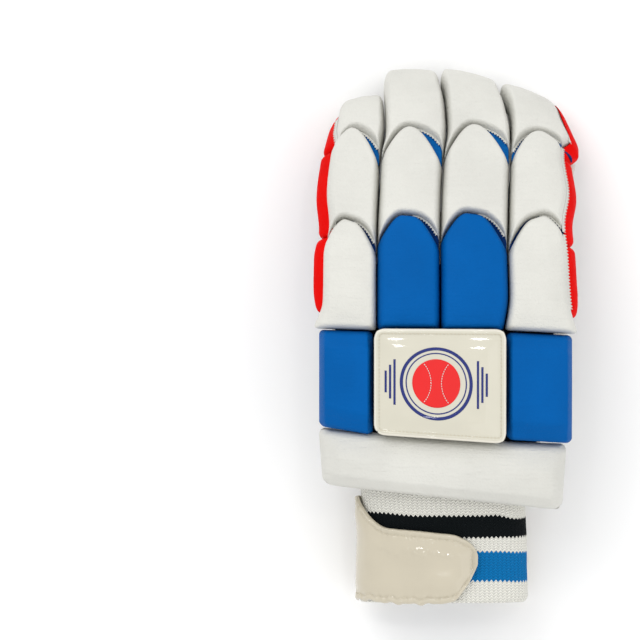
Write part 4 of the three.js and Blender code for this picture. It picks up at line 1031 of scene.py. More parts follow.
def roll_mesh(line, edges, depth, under, side_bevel, end_bevel, seed, across=44, along=52, crown=0.9, fill=None,
              slopes=(0, 0, 0, 0), fall=0.24, foot_bevel=None):
    """A foam roll or pad: depth times the shoulders of its sides and its ends, slopes inside them (rear, front,
    left, right), a low crown, and faint ripples."""
    a, b = grid(crowded(across), crowded(along))
    points = fill(a, b) if fill else patch(*edges, a, b)
    away = [to_outline(points, edge(np.linspace(0, 1, 60))) for edge in edges]
    ends, sides = np.minimum(*away[:2]), np.minimum(*away[2:])
    x, s = points[..., 0], points[..., 1]
    rise = shoulder(sides, side_bevel) * shoulder(away[0], foot_bevel or end_bevel) * shoulder(away[1], end_bevel)
    for distance, width in zip(away, slopes):
        rise = rise * chamfer(distance, width, fall)
    swell = crown * (smooth((sides - side_bevel * 0.4) / 9) * smooth((ends - end_bevel * 0.4) / 9) - 1)
    low = under(x, s)
    top = low + (depth(x, s) + swell + 0.3 * ripple(x, s, seed) - low) * rise
    return pillow(over_back(line, x, s, top), over_back(line, x, s, low))


class FingerRow:
    """A finger's three rolls seen from above: their sides, joints and stations, in x and s."""

    def __init__(self, index):
        self.index, self.name, self.line = index, NAMES[index], LINES[index]
        self.finger = FINGERS[self.name]

    def reach(self, share):
        """The station seen from above at a share of the finger reach."""
        return float(self.line.along(share * FINGER_REACH, JOINT_LEVEL))

    def side(self, sign, s):
        """The rolls' side in x, left for a sign of -1: the groove seen at the rolls' height, less half the gap."""
        over = np.clip((s - self.line.dome_start) / self.line.radius, 0, math.pi / 2)
        y = self.line.at(np.minimum(s, self.line.dome_start))[0] + (self.line.radius + 8) * np.sin(over)
        return groove(self.index + (sign > 0), y) - sign * ROLL_GAP / 2

    def left(self, s):
        return self.side(-1, s)

    def right(self, s):
        return self.side(1, s)

    def tip_shift(self, sign, s):
        """How far the fingertip roll's outer side, and the red strip beside it, stand out from the groove."""
        if self.name == "little" and sign < 0:
            return -2.8 * (1 - smooth((s - self.reach(self.finger["outer"][0])) / 13)), 0 * s
        if self.name == "index" and sign > 0:
            start = self.reach(self.finger["outer"][1])
            meet = float(self.line.along(STRIP_MARKS["index"][2] * FINGER_REACH, STRIP_LEVEL))
            fade = 1 - 0.55 * smooth((s - start - 9) / 14)
            return 4.0 * smooth((s - start + 1) / 8) * fade, 3.8 * smooth((s - meet - 1) / 9) * fade
        return 0 * s, 0 * s

    def joint(self, which, gap, foot=False, tip=False):
        """The bell at a joint, moved on by a gap: the lower roll's crown, or the upper roll's foot. A fingertip
        roll's foot has that roll's own left side."""
        left, right, crown = (self.reach(share) + gap for share in self.finger[which])
        inward = -self.tip_shift(-1, left)[0] if tip else 0.0
        return bell((float(self.left(left) + inward), left), (float(self.right(right)), right), crown,
                    CROWN_FLANKS[which], FOOT_POWERS[self.name][which] if foot else (1, 1))

    def under(self, x, s):
        """Underside of the rolls: close to the back, wrapping down over the stall's sides past the root."""
        span = stall_span(self.index, s)
        reach = np.abs(x - span["back"][0]) / (span["back"][1] + SEAM_GAP)
        sag = span["depth"] / 2 * (1 - (1 - np.clip(reach, 0, 1) ** span["square"]) ** (1 / span["square"]))
        return 1.0 - np.minimum(5.0, sag) * smooth((s - ROOT_REACH - 4) / 10)

    def roll(self, sizes, edges, seed, **options):
        """A middle or base roll between its edges, as deep all over."""
        return roll_mesh(self.line, edges, lambda x, s: sizes.roll_depth * MM + 0 * s, self.under,
                         sizes.side_bevel * MM, sizes.joint_bevel * MM, seed + self.index, **options)


ROWS = [FingerRow(index) for index in range(4)]


def tip_roll(row, sizes):
    """The fingertip roll: over the round tip it thins, narrows, and turns under."""
    line, rear = row.line, row.joint("outer", ROLL_GAP, foot=True, tip=True)
    left = lambda s: row.left(s) - row.tip_shift(-1, s)[0]
    right = lambda s: row.right(s) + row.tip_shift(1, s)[0]

    def fill(a, b):
        start = rear(a)
        s = mix(start[..., 1], line.tip_end, b)
        over = np.degrees((s - line.dome_start) / line.radius)
        pivot, loss = TIP_PIVOT[row.name]
        narrowed = 1 - loss * smooth((over - 22) / 84)
        x = mix(mix(left(s), right(s), pivot), mix(left(s), right(s), a), narrowed)
        return np.stack([mix(start[..., 0], x, smooth(b * 6)), s], -1)

    def depth(x, s):
        over = np.clip((s - line.dome_start) / line.radius, -0.5, TIP_TURN)
        back, front = sizes.tip_depth * MM + 0.6, 10.4 + TIP_FRONT[row.name]
        full = mix(back, front, smooth((over + 0.5) / math.radians(95)))
        turned = np.degrees(over)
        gathered = smooth((turned - 78) / 14) * (1 - smooth((turned - 104) / 8))
        share = (x - line.x) / (row.right(s) - row.left(s))
        pleats = 0.34 * np.sin(share * math.pi * 50 + 1.2 * ripple(share * 60, s, 44 + row.index, 5.0))
        return mix(full, 4.0, smooth((turned - 70) / 42)) + pleats * gathered

    def under(x, s):
        over = smooth((s - line.dome_start) / (line.radius * math.radians(30)))
        return mix(row.under(x, np.minimum(s, line.dome_start)), 1.0, over)

    edges = (rear, lambda t: fill(t, 1 + 0 * t), lambda t: fill(0 * t, t), lambda t: fill(1 + 0 * t, t))
    return roll_mesh(line, edges, depth, under, sizes.side_bevel * MM * 0.9, sizes.joint_bevel * MM, 11 + row.index,
                     fill=fill, across=150, along=72, crown=0.7, foot_bevel=FOOT_BEVEL)


def middle_roll(row, sizes):
    """The roll over a finger's middle: its rear nests on the base roll and its front under the tip roll."""
    inner, outer = ([row.reach(share) for share in row.finger[which][:2]] for which in ("inner", "outer"))
    edges = (row.joint("inner", ROLL_GAP, foot=True), row.joint("outer", 0.0),
             drawn(row.left, inner[0] + ROLL_GAP, outer[0]), drawn(row.right, inner[1] + ROLL_GAP, outer[1]))
    return row.roll(sizes, edges, 21, foot_bevel=FOOT_BEVEL)


def base_roll(row, sizes):
    """The roll next to the knuckles: square behind, a bullet in front."""
    l, r = (row.reach(share) - 0.8 for share in row.finger["rear"])
    depth, corner = 1.6, 0.07
    rounded = lambda t: depth * (1 - np.sqrt(1 - (1 - np.clip(np.minimum(t, 1 - t) / corner, 0, 1)) ** 2))
    flare = FLARE[row.name]
    wide = lambda s, start: 1 - smooth((s - start) / 13)
    near, far = (lambda s: row.left(s) + flare[0] * wide(s, l)), (lambda s: row.right(s) + flare[1] * wide(s, r))
    rear = lambda t: np.stack([mix(float(near(l)), float(far(r)), t), mix(l, r, t) + rounded(t)], -1)
    inner = [row.reach(share) for share in row.finger["inner"][:2]]
    return row.roll(sizes, (rear, row.joint("inner", 0.0), drawn(near, l + depth, inner[0]),
                            drawn(far, r + depth, inner[1])), 31)


class GLOVE_OT_finger_rolls(Operator):
    """Three foam rolls on the back of each finger"""

    bl_idname = "glove.finger_rolls"
    bl_label = "Finger Rolls"

    def execute(self, context):
        for row in ROWS:
            for part, make in (("tip", tip_roll), ("middle", middle_roll), ("base", base_roll)):
                colour = "blue" if part == "base" and row.name in ("ring", "middle") else "white"
                add(f"{row.name}_{part}_foam", make(row, context.scene.glove_sizes), f"{colour} leather",
                    f"{colour}_skin", [f"{row.name}_{part}_roll"], fill=0.8)
        return {"FINISHED"}


def lining_strip(row, which, span):
    """Cloth between two nested rolls: a strip from the lower roll's crown to the upper roll's foot."""
    low, high = row.joint(which, -0.6), row.joint(which, ROLL_GAP + 0.5, foot=True)
    t, v = grid(np.linspace(*span, 70), np.linspace(0, 1, 6))
    x, s = np.moveaxis(mix(low(t), high(t), v[..., None]), -1, 0)
    n = 7.2 - 0.9 * np.abs(2 * t - 1) ** 2 + 0.15 * ripple(x, s, 50 + row.index, 3.0)
    return walled(row.line, x, s, n, 0.8)


def pinked_edge(row, which, start, end, pitch):
    """A pinked fringe along the foot of a roll: a thin strip whose free edge is a triangle wave."""
    marks = row.joint(which, ROLL_GAP, foot=True)(np.linspace(start, end, 200))
    reach = run(marks)
    count = int(reach[-1] / pitch) * 4 + 1
    line = sampled(marks, reach, np.linspace(0, reach[-1], count))
    heading = unit(np.gradient(line, axis=0))
    side = np.stack([heading[:, 1], -heading[:, 0]], -1)
    side *= np.sign(-side[:, 1:2] + 1e-9)
    tooth = teeth(count)
    reaches = np.stack([-0.6 + 0 * tooth, -0.1 + 0 * tooth, 0.1 + 0.85 * tooth], 1)
    x, s = np.moveaxis(line[:, None] + side[:, None] * reaches[..., None], -1, 0)
    return walled(row.line, x, s, np.array([7.9, 8.0, 7.9]), 0.4)


class GLOVE_OT_joint_linings(Operator):
    """Blue lining and pinked edges where the rolls nest"""

    bl_idname = "glove.joint_linings"
    bl_label = "Joint Linings"

    def execute(self, context):
        pitch = context.scene.glove_sizes.tooth_pitch * MM
        for which, look in (("outer", "blue lining"), ("inner", "navy lining")):
            strips = [lining_strip(row, which, (0.5, 0.985)) for row in ROWS]
            strips.append(lining_strip(ROWS[3], which, (0.02, 0.4)))
            add(f"{which}_joint_lining", joined(strips), look, "blue_skin")
        spans = [(row, which, 0.56, 0.95) for row in ROWS for which in ("outer", "inner")]
        spans.append((ROWS[3], "outer", 0.05, 0.34))
        add("pinked_edges", joined([pinked_edge(*span, pitch) for span in spans]), "white leather", "white_skin")
        return {"FINISHED"}


class Strip:
    """One segment of a red strip: its finger, the side of it, its span in s, and how far its ends are rounded."""

    def __init__(self, row, sign, span, tapers, seed):
        self.row, self.sign, self.span, self.tapers, self.seed = row, sign, span, tapers, seed

    @staticmethod
    def place(row, sign, s):
        """In x: the side of the roll beside the strip, and the wall that the strip bulges from."""
        roll = row.side(sign, s) + sign * ROLL_GAP / 2
        beside, out = row.tip_shift(sign, s)
        return roll + sign * beside, roll + sign * out

    def point(self, s, b, lift=0.0, flat=0.0):
        """A point on the strip, b from its lower edge to its top: bulges by a sine of its height, and is rounded and
        drawn in at its ends. Its top leans in to the roll. flat takes the bulge away."""
        line, sign = self.row.line, self.sign
        roll, wall = self.place(self.row, sign, s)
        ends = shoulder(s - self.span[0], self.tapers[0], 2.2) * shoulder(self.span[1] - s, self.tapers[1], 2.2)
        n = -2.4 + (mix(-10.0, 6.4, b) + 2.4) * mix(0.55, 1, ends)
        n = n + STRIP_END[self.row.name][1] * smooth((s - line.dome_start + 22) / 26)
        height = np.sin(np.pi * b).clip(0, 1) ** 0.62
        bulge = (4.5 + 0.35 * ripple(s, n, self.seed) + lift) * ends * height * (1 - flat)
        lean = (0.5 + np.maximum(sign * (wall - roll), 0)) * smooth((b - 0.55) / 0.45)
        return over_back(line, wall + sign * (0.2 + bulge - lean), s, n)

    def wedge(self, meet):
        """The dark toothed lining that crosses the index finger's strip at its upper joint."""
        count = 6 * 4 + 1
        t = np.linspace(0, 1, count)[:, None]
        reach = np.concatenate([-1.0 + 0 * t, 0 * t, 0.6 + 0.9 * teeth(count)[:, None]], 1)
        s = meet + 1.5 + 3.4 * (1 - t) + reach * np.sin(np.pi * mix(0.12, 0.95, t))
        s, b = np.broadcast_arrays(s, mix(0.98, 0.56, t))
        under = Strip(self.row, self.sign, (self.span[0] - 3, self.span[1]), self.tapers, 60)
        return two_skins(under.point(s, b, 0.55), under.point(s, b, -0.2))


def strip_fringe(row, sign, start, end, pitch):
    """The pinked edge between a roll's side and the red strip: teeth that lie outward over the red."""
    count = int((end - start) / pitch) * 4 + 1
    s, tooth = np.linspace(start, end, count)[:, None], teeth(count)[:, None]
    reach = np.concatenate([-1.2 + 0 * tooth, -0.5 + 0 * tooth, -0.1 + tooth], 1)
    return walled(row.line, Strip.place(row, sign, s)[0] + sign * reach, s, np.array([[9.4, 8.0, 6.6]]), 0.5)


class GLOVE_OT_side_strips(Operator):
    """Red strips beside the little and index fingers, with their pinked edges"""

    bl_idname = "glove.side_strips"
    bl_label = "Side Strips"

    def execute(self, context):
        pitch = context.scene.glove_sizes.tooth_pitch * MM
        fringes = []
        for row, sign, tip_start in ((ROWS[0], -1, 1.5), (ROWS[3], 1, 6.5)):
            line, name = row.line, row.name
            marks = [float(line.along(share * FINGER_REACH, STRIP_LEVEL)) for share in STRIP_MARKS[name]]
            marks.append(line.dome_start + line.radius * STRIP_END[name][0])
            feet = [row.reach(row.finger[which][sign > 0]) for which in ("inner", "outer")]
            spans = ((marks[0] + 4, feet[0] - 0.3), (feet[0] + 1, feet[1] - 0.3), (feet[1] + tip_start, marks[3] - 7))
            fringes += [strip_fringe(row, sign, *span, pitch) for span in spans]
            s_share, b = grid(crowded(60), crowded(22))
            for k, (part, tapers) in enumerate((("base", (16, 4)), ("middle", (4, 4)), ("tip", (4, 20)))):
                span = (marks[k] + 0.1, marks[k + 1] - 0.1)
                strip, s = Strip(row, sign, span, tapers, 60 + 3 * row.index + k), mix(*span, s_share)
                add(f"{name}_red_{part}", pillow(strip.point(s, b), strip.point(s, b, flat=1.0)), "red leather",
                    "red_skin", [f"{name}_side_{part}"], fill=0.7)
            if name == "index":
                add("index_strip_lining", strip.wedge(marks[2]), "navy lining", "blue_skin")
        add("side_fringes", joined(fringes), "white leather", "white_skin")
        return {"FINISHED"}


def pad_edges(pad, height, corner):
    """Four edges of a pad with rounded corners: each end draws in by the corner's quarter circle."""
    left, right = pad["sides"][0] * HALF, pad["sides"][1] * HALF
    middle = (left + right) / 2
    share = lambda x: (x / HALF - pad["sides"][0]) / (pad["sides"][1] - pad["sides"][0])
    reach = lambda marks, x: np.interp(share(x), np.linspace(0, 1, len(marks)), marks) * FINGER_REACH
    rear, front = (lambda x, marks=pad[end]: HAND_LINE.along(reach(marks, x), height) for end in ("rear", "front"))
    small = corner * (1 - math.sqrt(0.5))
    pull = lambda d: corner - np.sqrt(np.maximum(corner**2 - (corner - np.minimum(d, corner)) ** 2, 0))

    def tapered(x, s):
        back = (front(x) - s) / (front(x) - rear(x))
        return np.stack([middle + (x - middle) * (1 - pad.get("taper", 0) * back), s], -1)

    def endwise(edge, toward):
        def at(t):
            x = mix(left + small, right - small, t)
            return tapered(x, edge(x) + toward * pull(np.minimum(x - left, right - x)))
        return at

    def sidewise(x, toward):
        def at(t):
            s = mix(rear(x) + small, front(x) - small, t)
            return tapered(x + toward * pull(np.minimum(s - rear(x), front(x) - s)), s)
        return at

    return endwise(rear, 1), endwise(front, -1), sidewise(left, 1), sidewise(right, -1)


def pad_mesh(pad, depth, corner, height, bevel, seed, under=0.65, **options):
    """A pad of the knuckle row or the wrist."""
    return roll_mesh(HAND_LINE, pad_edges(pad, height, corner), lambda x, s: depth + 0 * s,
                     lambda x, s: under + 0 * s, bevel, bevel, seed, across=64, along=64, **options)


class GLOVE_OT_knuckle_row(Operator):
    """Two blue knuckle pads and the centre pad"""

    bl_idname = "glove.knuckle_row"
    bl_label = "Knuckle Row"

    def execute(self, context):
        depth = context.scene.glove_sizes.knuckle_depth * MM
        bevel = 3.0
        for part, seed in (("little", 71), ("index", 72)):
            pad = pad_mesh(KNUCKLE_PADS[part], depth, 2.6, 7.0, bevel, seed, crown=0.8, slopes=(11, 9, 3, 3), fall=0.36)
            add(f"{part}_knuckle_foam", pad, "blue leather", "blue_skin", [f"knuckle_pad_{part}"], fill=0.85)
        pad = pad_mesh(KNUCKLE_PADS["centre"], depth - 3.2, 4.5, 12.0, bevel, 73, crown=0.8)
        add("centre_knuckle_foam", pad, "white leather", "white_skin", ["knuckle_pad_centre"], fill=0.85)
        return {"FINISHED"}


def plate_level(u, v):
    """Top of the centre plate over the back: a rim, then a shallow sunk field that swells to the middle."""
    edge = np.minimum(rim_share(u, PLATE_SIZE[0]), rim_share(v, PLATE_SIZE[1]))
    rim = shoulder(edge, 1.6, 2.2)
    sunk = smooth((edge - 1.9) / 0.9)
    swell = smooth((edge - 2.6) / 9)
    return 15.6 + 2.9 * rim - 0.55 * sunk + 0.9 * swell


def on_plate(u, v, lift=0.0):
    """A point on the centre plate, u across and v along, both from 0 to 1."""
    u, v = arrays(u, v)
    points = patch(*pad_edges(PLATE, 19.0, 6.5), u, v)
    return over_back(HAND_LINE, points[..., 0], points[..., 1], plate_level(u, v) + lift)


def printed(surface, x, y, closed=False):
    """A thin printed shape on a surface of millimetres across and along."""
    return two_skins(surface(x, y, 0.12), surface(x, y, -0.2), closed=closed)


def print_ring(surface, inner, outer):
    """A printed ring."""
    r, turn = grid(np.linspace(inner, outer, 6), np.linspace(0, 2 * math.pi, 72, endpoint=False))
    return printed(surface, r * np.cos(turn), r * np.sin(turn), closed=True)


def print_disc(surface, radius):
    """A printed disc: a square grid pressed round, each way by the root of 1 less half the other's square."""
    a, b = grid(np.linspace(-1, 1, 32), np.linspace(-1, 1, 32))
    return printed(surface, radius * a * np.sqrt(1 - b * b / 2), radius * b * np.sqrt(1 - a * a / 2))


def print_bar(surface, x, reach, width):
    """A printed upright bar at x, from -reach to reach."""
    y, x = grid(np.linspace(-reach, reach, 20), x + np.linspace(-0.5, 0.5, 4) * width)
    return printed(surface, x, y)


def put_print(name, surface, scale):
    """A plain ball in two rings between bars, with the ball's dashed seams."""
    navy = [print_ring(surface, inner * scale, outer * scale) for inner, outer in ((16.6, 18.2), (14.7, 15.3))]
    seams = []
    for side in (-1, 1):
        navy += [print_bar(surface, side * (20.8 + 2.2 * k) * scale, (11.5 - 3 * k) * scale, 1.1 * scale)
                 for k in range(3)]
        turn = np.linspace(-0.95, 0.95, 60)
        x, y = side * (17 - 14.4 * np.cos(turn)), 14.4 * np.sin(turn)
        inside = x**2 + y**2 < 11.6**2
        x, y = x[inside] * scale, y[inside] * scale
        line = surface(x, y, 0.2)
        seams.append(stitched(line, surface(x, y, 1.2) - line, 1.25 * scale, 0.5 * scale))
    add(f"{name}_print_navy", joined(navy), "navy print", "gloss_skin")
    add(f"{name}_print_red", print_disc(surface, 12 * scale), "red print", "gloss_skin")
    add(f"{name}_print_seam", joined(seams), "white gloss", "gloss_skin")


class GLOVE_OT_centre_plate(Operator):
    """The glossy centre plate, its rim, stitches and plain print"""

    bl_idname = "glove.centre_plate"
    bl_label = "Centre Plate"

    def execute(self, context):
        top = on_plate(*grid(crowded(90), crowded(80)))
        bottom = top.copy()
        bottom[..., 2] = top[..., 2].min() - 1.2
        add("glossy_plate", pillow(top, bottom), "cream gloss", "gloss_skin", ["centre_plate"])
        t = crowded(60)
        sides = ((t, 0 * t), (1 + 0 * t, t), (1 - t, 1 + 0 * t), (0 * t, 1 - t))
        border = np.concatenate([np.stack(side, -1)[min(k, 1) :] for k, side in enumerate(sides)])

        def inset(d):
            return (mix(d / size, 1 - d / size, border[:, k]) for k, size in enumerate(PLATE_SIZE))

        up = np.tile([0, 0, 1.0], (len(border), 1))
        row = stitched(on_plate(*inset(2.5)), up, context.scene.glove_sizes.stitch_pitch * MM * 0.7, 0.5)
        add("plate_stitches", row, "cream thread", "gloss_skin")
        # The rim is the plate's cream painted lighter: a painted highlight along the raised rim
        welt = round_cord(on_plate(*inset(1.0), -0.75), 1.05, up, squash=0.8)
        add("plate_rim", welt, "pale gloss", "gloss_skin")
        width, length = PLATE_SIZE
        put_print("plate", lambda x, y, lift: on_plate(0.47 + x / width, 0.5 + y / length, lift), 1.0)
        return {"FINISHED"}


class GLOVE_OT_wrist_roll(Operator):
    """The white roll over the wrist"""

    bl_idname = "glove.wrist_roll"
    bl_label = "Wrist Roll"

    def execute(self, context):
        depth = context.scene.glove_sizes.wrist_depth * MM
        pad = pad_mesh(WRIST_ROLL, depth, 4.0, 5.0, 3.6, 81, under=1.0, crown=0.5, slopes=(8, 13, 10, 6), fall=0.36)
        add("wrist_foam", pad, "white leather", "white_skin", ["wrist_roll"], fill=0.75)
        return {"FINISHED"}


# Stalls, strips and caps


def stall_bands(index, s, angle):
    """Distance outside the palm strip's edge, in units of 20 mm, for the knit's stripes."""
    beyond = s - mix(ROOT_REACH, LINES[index].dome_start, 0.8)
    arc = (np.abs((angle - 90) % 360 - 180) - 47) * math.pi / 180 * 14
    return np.hypot(np.maximum(arc, 0), np.maximum(beyond, 0)) / 20


class GLOVE_OT_finger_stalls(Operator):
    """Knitted stalls with their stripes"""

    bl_idname = "glove.finger_stalls"
    bl_label = "Finger Stalls"

    def execute(self, context):
        for index, name in enumerate(NAMES):
            line = LINES[index]
            end = line.dome_start + line.radius * math.pi / 2
            s = np.concatenate([np.linspace(ROOT_REACH + 0.8, line.dome_start, 44), past_dome(line.dome_start, end)])
            station, turn = grid(s, np.linspace(0, 360, 84, endpoint=False))
            outer, inner = (on_stall(index, station, turn, offset) for offset in (0.0, -KNIT_WALL))
            uv = on_both(station / 60, stall_bands(index, station, turn))
            add(f"{name}_knit", two_skins(outer, inner, closed=True), "finger knit", "knit", [f"{name}_stall"], uv=uv,
                weld=WELD)
        return {"FINISHED"}


def tongue(index, a, b):
    """A palm strip: a tongue along the palm side, whose end is half a superellipse. Gives s and angle."""
    line = LINES[index]
    start, end = ROOT_REACH + 1.2, mix(ROOT_REACH, line.dome_start, 0.82)
    reach = (1 - np.abs(2 * a - 1) ** 2.6) ** (1 / 2.6)
    s = mix(start, mix(end - 9, end, reach), b)
    half = 46 * mix(0.98, 1.0, b)
    return s, 270 + (2 * a - 1) * half


class GLOVE_OT_palm_strips(Operator):
    """Leather strips under the fingers, with rolled seams and air holes"""

    bl_idname = "glove.palm_strips"
    bl_label = "Palm Strips"
    # Leather strips under the fingers, with rolled seams, and air holes as near-black beads of painted shade

    def execute(self, context):
        pitch = context.scene.glove_sizes.stitch_pitch * MM * 0.8
        seams, threads, holes = [], [], []
        for index, name in enumerate(NAMES):
            a, b = grid(np.linspace(0.0, 1.0, 40), np.linspace(0, 1, 60))
            s, angle = tongue(index, a, b)
            fold = 0.35 * ripple(s * 1.6, angle * 0.25, 90 + index, 5.0) * np.sin(np.pi * a)
            hollow = -0.5 * np.sin(np.pi * a) * smooth(b * 4)
            outer = on_stall(index, s, angle, 1.9 + fold + hollow)
            points, quads = two_skins(outer, on_stall(index, s, angle, 0.5))
            add(f"{name}_strip", (points, quads), "palm leather", "leather", [f"{name}_palm_strip"])
            edge_a = np.concatenate([np.zeros(50), np.linspace(0, 1, 60)[1:-1], np.ones(50)])
            edge_b = np.concatenate([np.linspace(0.02, 1, 50), np.ones(58), np.linspace(1, 0.02, 50)])
            s, angle = tongue(index, edge_a, edge_b)
            line = on_stall(index, s, angle, 1.5)
            seams.append(round_cord(line, 1.05, uprights(lambda *q: on_stall(index, *q), s, angle, 1.5)))
            s, angle = tongue(index, mix(0.09, 0.91, edge_a), mix(0.0, 0.965, edge_b))
            threads.append(stitched_on(lambda *q: on_stall(index, *q), s, angle, 1.95, pitch, 0.4))
            # Each air hole is a near-black bead: painted shade standing for the inside of the hole
            for where in (0.28, 0.62, 0.86):
                s, angle = tongue(index, np.array([0.5 + 0.06 * (index % 2 * 2 - 1)]), np.array([where]))
                middle = on_stall(index, s, angle, 1.55)
                up = uprights(lambda *q: on_stall(index, *q), s, angle, 1.5)
                side = np.cross(up, [[0, 1.0, 0]])
                axes = np.stack([side * 1.3, np.cross(up, side) * 1.3, up * 0.9], 1)
                holes.append(copies(*bead(8, 5), middle, axes))
        add("strip_seams", joined(seams), "palm leather", "leather")
        add("strip_stitches", joined(threads), "white thread", "leather")
        add("strip_holes", joined(holes), "dark hole", "leather")
        return {"FINISHED"}


class GLOVE_OT_tip_caps(Operator):
    """Leather caps under the fingertips, gathered at the front"""

    bl_idname = "glove.tip_caps"
    bl_label = "Tip Caps"

    def execute(self, context):
        for index, name in enumerate(NAMES):
            line = LINES[index]
            a, b = grid(np.linspace(0, 1, 120), np.linspace(0, 1, 48))
            s = mix(line.dome_start - line.radius * 0.42, line.dome_start + line.radius * math.radians(80), b)
            angle = mix(197, 343, a)
            gathers = np.sin(a * math.pi * 44 + 1.5 * ripple(a * 40, b * 4, 120 + index, 3.0))
            pleats = 0.32 * gathers * smooth((b - 0.52) / 0.2)
            step = 0.7 * smooth((b - 0.5) / 0.03) * (1 - smooth((b - 0.5) / 0.3))
            rim = shoulder(rim_share(b, 26), 1.2) * shoulder(rim_share(a, 40), 1.2)
            thick = 0.7 + (1.3 + pleats + step) * rim
            outer = on_stall(index, s, angle, thick)
            points, quads = pillow(outer, on_stall(index, s, angle, 0.7))
            add(f"{name}_cap", (points, quads), "palm leather", "leather", [f"{name}_tip_cap"])
        return {"FINISHED"}


def index_side_x(s, n):
    """How far out the index finger's side lies: the superellipse's half width at height n."""
    on_palm = s < ROOT_REACH
    span = stall_span(3, np.maximum(s, ROOT_REACH))
    at = s / HEEL_REACH
    depth = np.where(on_palm, column(HAND, "depth", at) * PALM_DEPTH, span["depth"])
    square = np.where(on_palm, column(HAND, "square", at), span["square"])
    up = np.clip(1 + 2 * n / depth, -1, 1)
    level = (up + 1) / 2
    palm, back = ([centre - half, centre + half] for centre, half in (span["palm"], span["back"]))
    left, right = (np.where(on_palm, side, mix(palm[k], back[k], level)) for k, side in enumerate(hand_sides(at, level)))
    return (left + right) / 2 + (1 - np.abs(up) ** square) ** (1 / square) * (right - left) / 2


class GLOVE_OT_index_side_pads(Operator):
    """White pads along the index finger's side"""

    bl_idname = "glove.index_side_pads"
    bl_label = "Index Side Pads"

    def execute(self, context):
        line = LINES[3]
        pads = (("knuckle", (-0.3, 0.03), 0.4), ("lower", (0.06, 0.4), 1.0), ("upper", (0.42, 0.72), 1.0))
        for seed, (part, ends, clear) in enumerate(pads, 141):
            along = [float(line.along(share * FINGER_REACH, -10.0)) for share in ends]
            a, b = grid(crowded(44), crowded(28))
            s = mix(*along, a)
            drop = 0.74 * np.where(s < ROOT_REACH, PALM_DEPTH, STALL_DEPTH)
            n = -mix(drop, 10.8, b)
            rise = shoulder(rim_share(a, along[1] - along[0]), 5.0) * shoulder(rim_share(b, 11.2), 4.0)
            skin = index_side_x(s, n) + clear
            outer = over_back(line, skin + (8.2 + 0.3 * ripple(s, n, seed)) * rise, s, n)
            points, quads = pillow(outer, over_back(line, skin, s, n))
            add(f"index_guard_{part}", (points, quads), "white leather", "white_skin",
                   [f"index_side_pad_{part}"], fill=0.75)
        return {"FINISHED"}


# Hand and palm


def slit_share(s):
    """How far down the wrist slit a station lies: 0 at its top and 1 at the heel."""
    return np.clip((SLIT_START - s) / (HEEL_REACH + SLIT_START), 0, 1)


def palm_edge(s):
    """Angle of the palm leather's little-finger edge: it swings in behind the wrist slit's start."""
    return PALM_START + 6 * smooth(slit_share(s) ** 0.7)


def gusset_edge(s):
    """Angle of the little-finger gusset's edge: against the palm, then swinging out along the slit."""
    return 225.3 - 24 * smooth(slit_share(s) ** 0.7)


def gusset_bands(distance):
    """Place in the finger knit's stripes of a point that far from the palm: narrower stripes than a finger's."""
    return np.interp(distance, [0, 1.5, 3.2, 4.6, 9.0, 30], [0.0, 0.08, 0.24, 0.36, 0.68, 1.0])


def inside_thumb(points, clear):
    """True where a point lies in the thumb's passage, widened by a clearance."""
    away = points[..., None, :] - THUMB_CURVE[::8]
    heading = THUMB_HEADING[::8]
    width = thumb_half_width(np.linspace(0, 1, len(THUMB_CURVE))[::8]) + clear
    across, height, ahead = ((away * axis).sum(-1) for axis in (*thumb_axes(heading), heading))
    reach = np.abs(across / width) ** THUMB_SQUARE + np.abs(height / (THUMB_HEIGHT / 2 + clear)) ** THUMB_SQUARE
    return ((reach < 1) & (np.abs(ahead) < 3.2)).any(-1)


class GLOVE_OT_hand_panels(Operator):
    """Back panel and the knitted gussets on both sides of the hand"""

    bl_idname = "glove.hand_panels"
    bl_label = "Hand Panels"

    def execute(self, context):
        s = np.linspace(-HEEL_REACH, ROOT_REACH, 70)
        station, t = grid(s, np.linspace(0, 1, 40))
        skins = lambda angle, wall: (on_hand(station, angle, 0.0), on_hand(station, angle, -wall))
        add("back_knit", two_skins(*skins(mix(*BACK_PANEL, t), KNIT_WALL)), "dark knit", "knit", ["back_panel"],
            uv=on_both(t, station / 100))
        outer, inner = skins(mix(LITTLE_GUSSET_START, gusset_edge(station), t), GUSSET_WALL)
        across = np.linalg.norm(np.diff(outer, axis=1), axis=2)
        distance = np.concatenate([np.cumsum(across[:, ::-1], axis=1)[:, ::-1], np.zeros((len(s), 1))], axis=1)
        add("little_side_knit", two_skins(outer, inner), "finger knit", "knit", ["little_gusset"],
            uv=on_both(station / 60, gusset_bands(distance)))
        outer, inner = skins(mix(*INDEX_GUSSET, t), GUSSET_WALL)
        add("index_side_knit", two_skins(outer, inner, keep=~inside_thumb(outer, -2.0)), "finger knit", "knit",
            ["index_gusset"], uv=on_both(station / 60, gusset_bands(t * 26)))
        return {"FINISHED"}


def palm_relief(s, angle):
    """Folds of the palm leather: waves along the hand, deeper towards the thumb and the finger roots."""
    x = on_hand(s, angle, 0.0)[..., 0]
    nearer = 0.4 + 0.6 * smooth((s + 10) / 40)
    soft = 0.7 * ripple(x * 0.8, s * 1.3, 160, 7.0) + 0.35 * ripple(x, s, 161, 3.0) * nearer
    lines = np.abs(ripple(x * 0.5 + s * 0.2, s * 1.1, 163, 4.0))
    return soft - 0.5 * np.exp(-lines * 22)


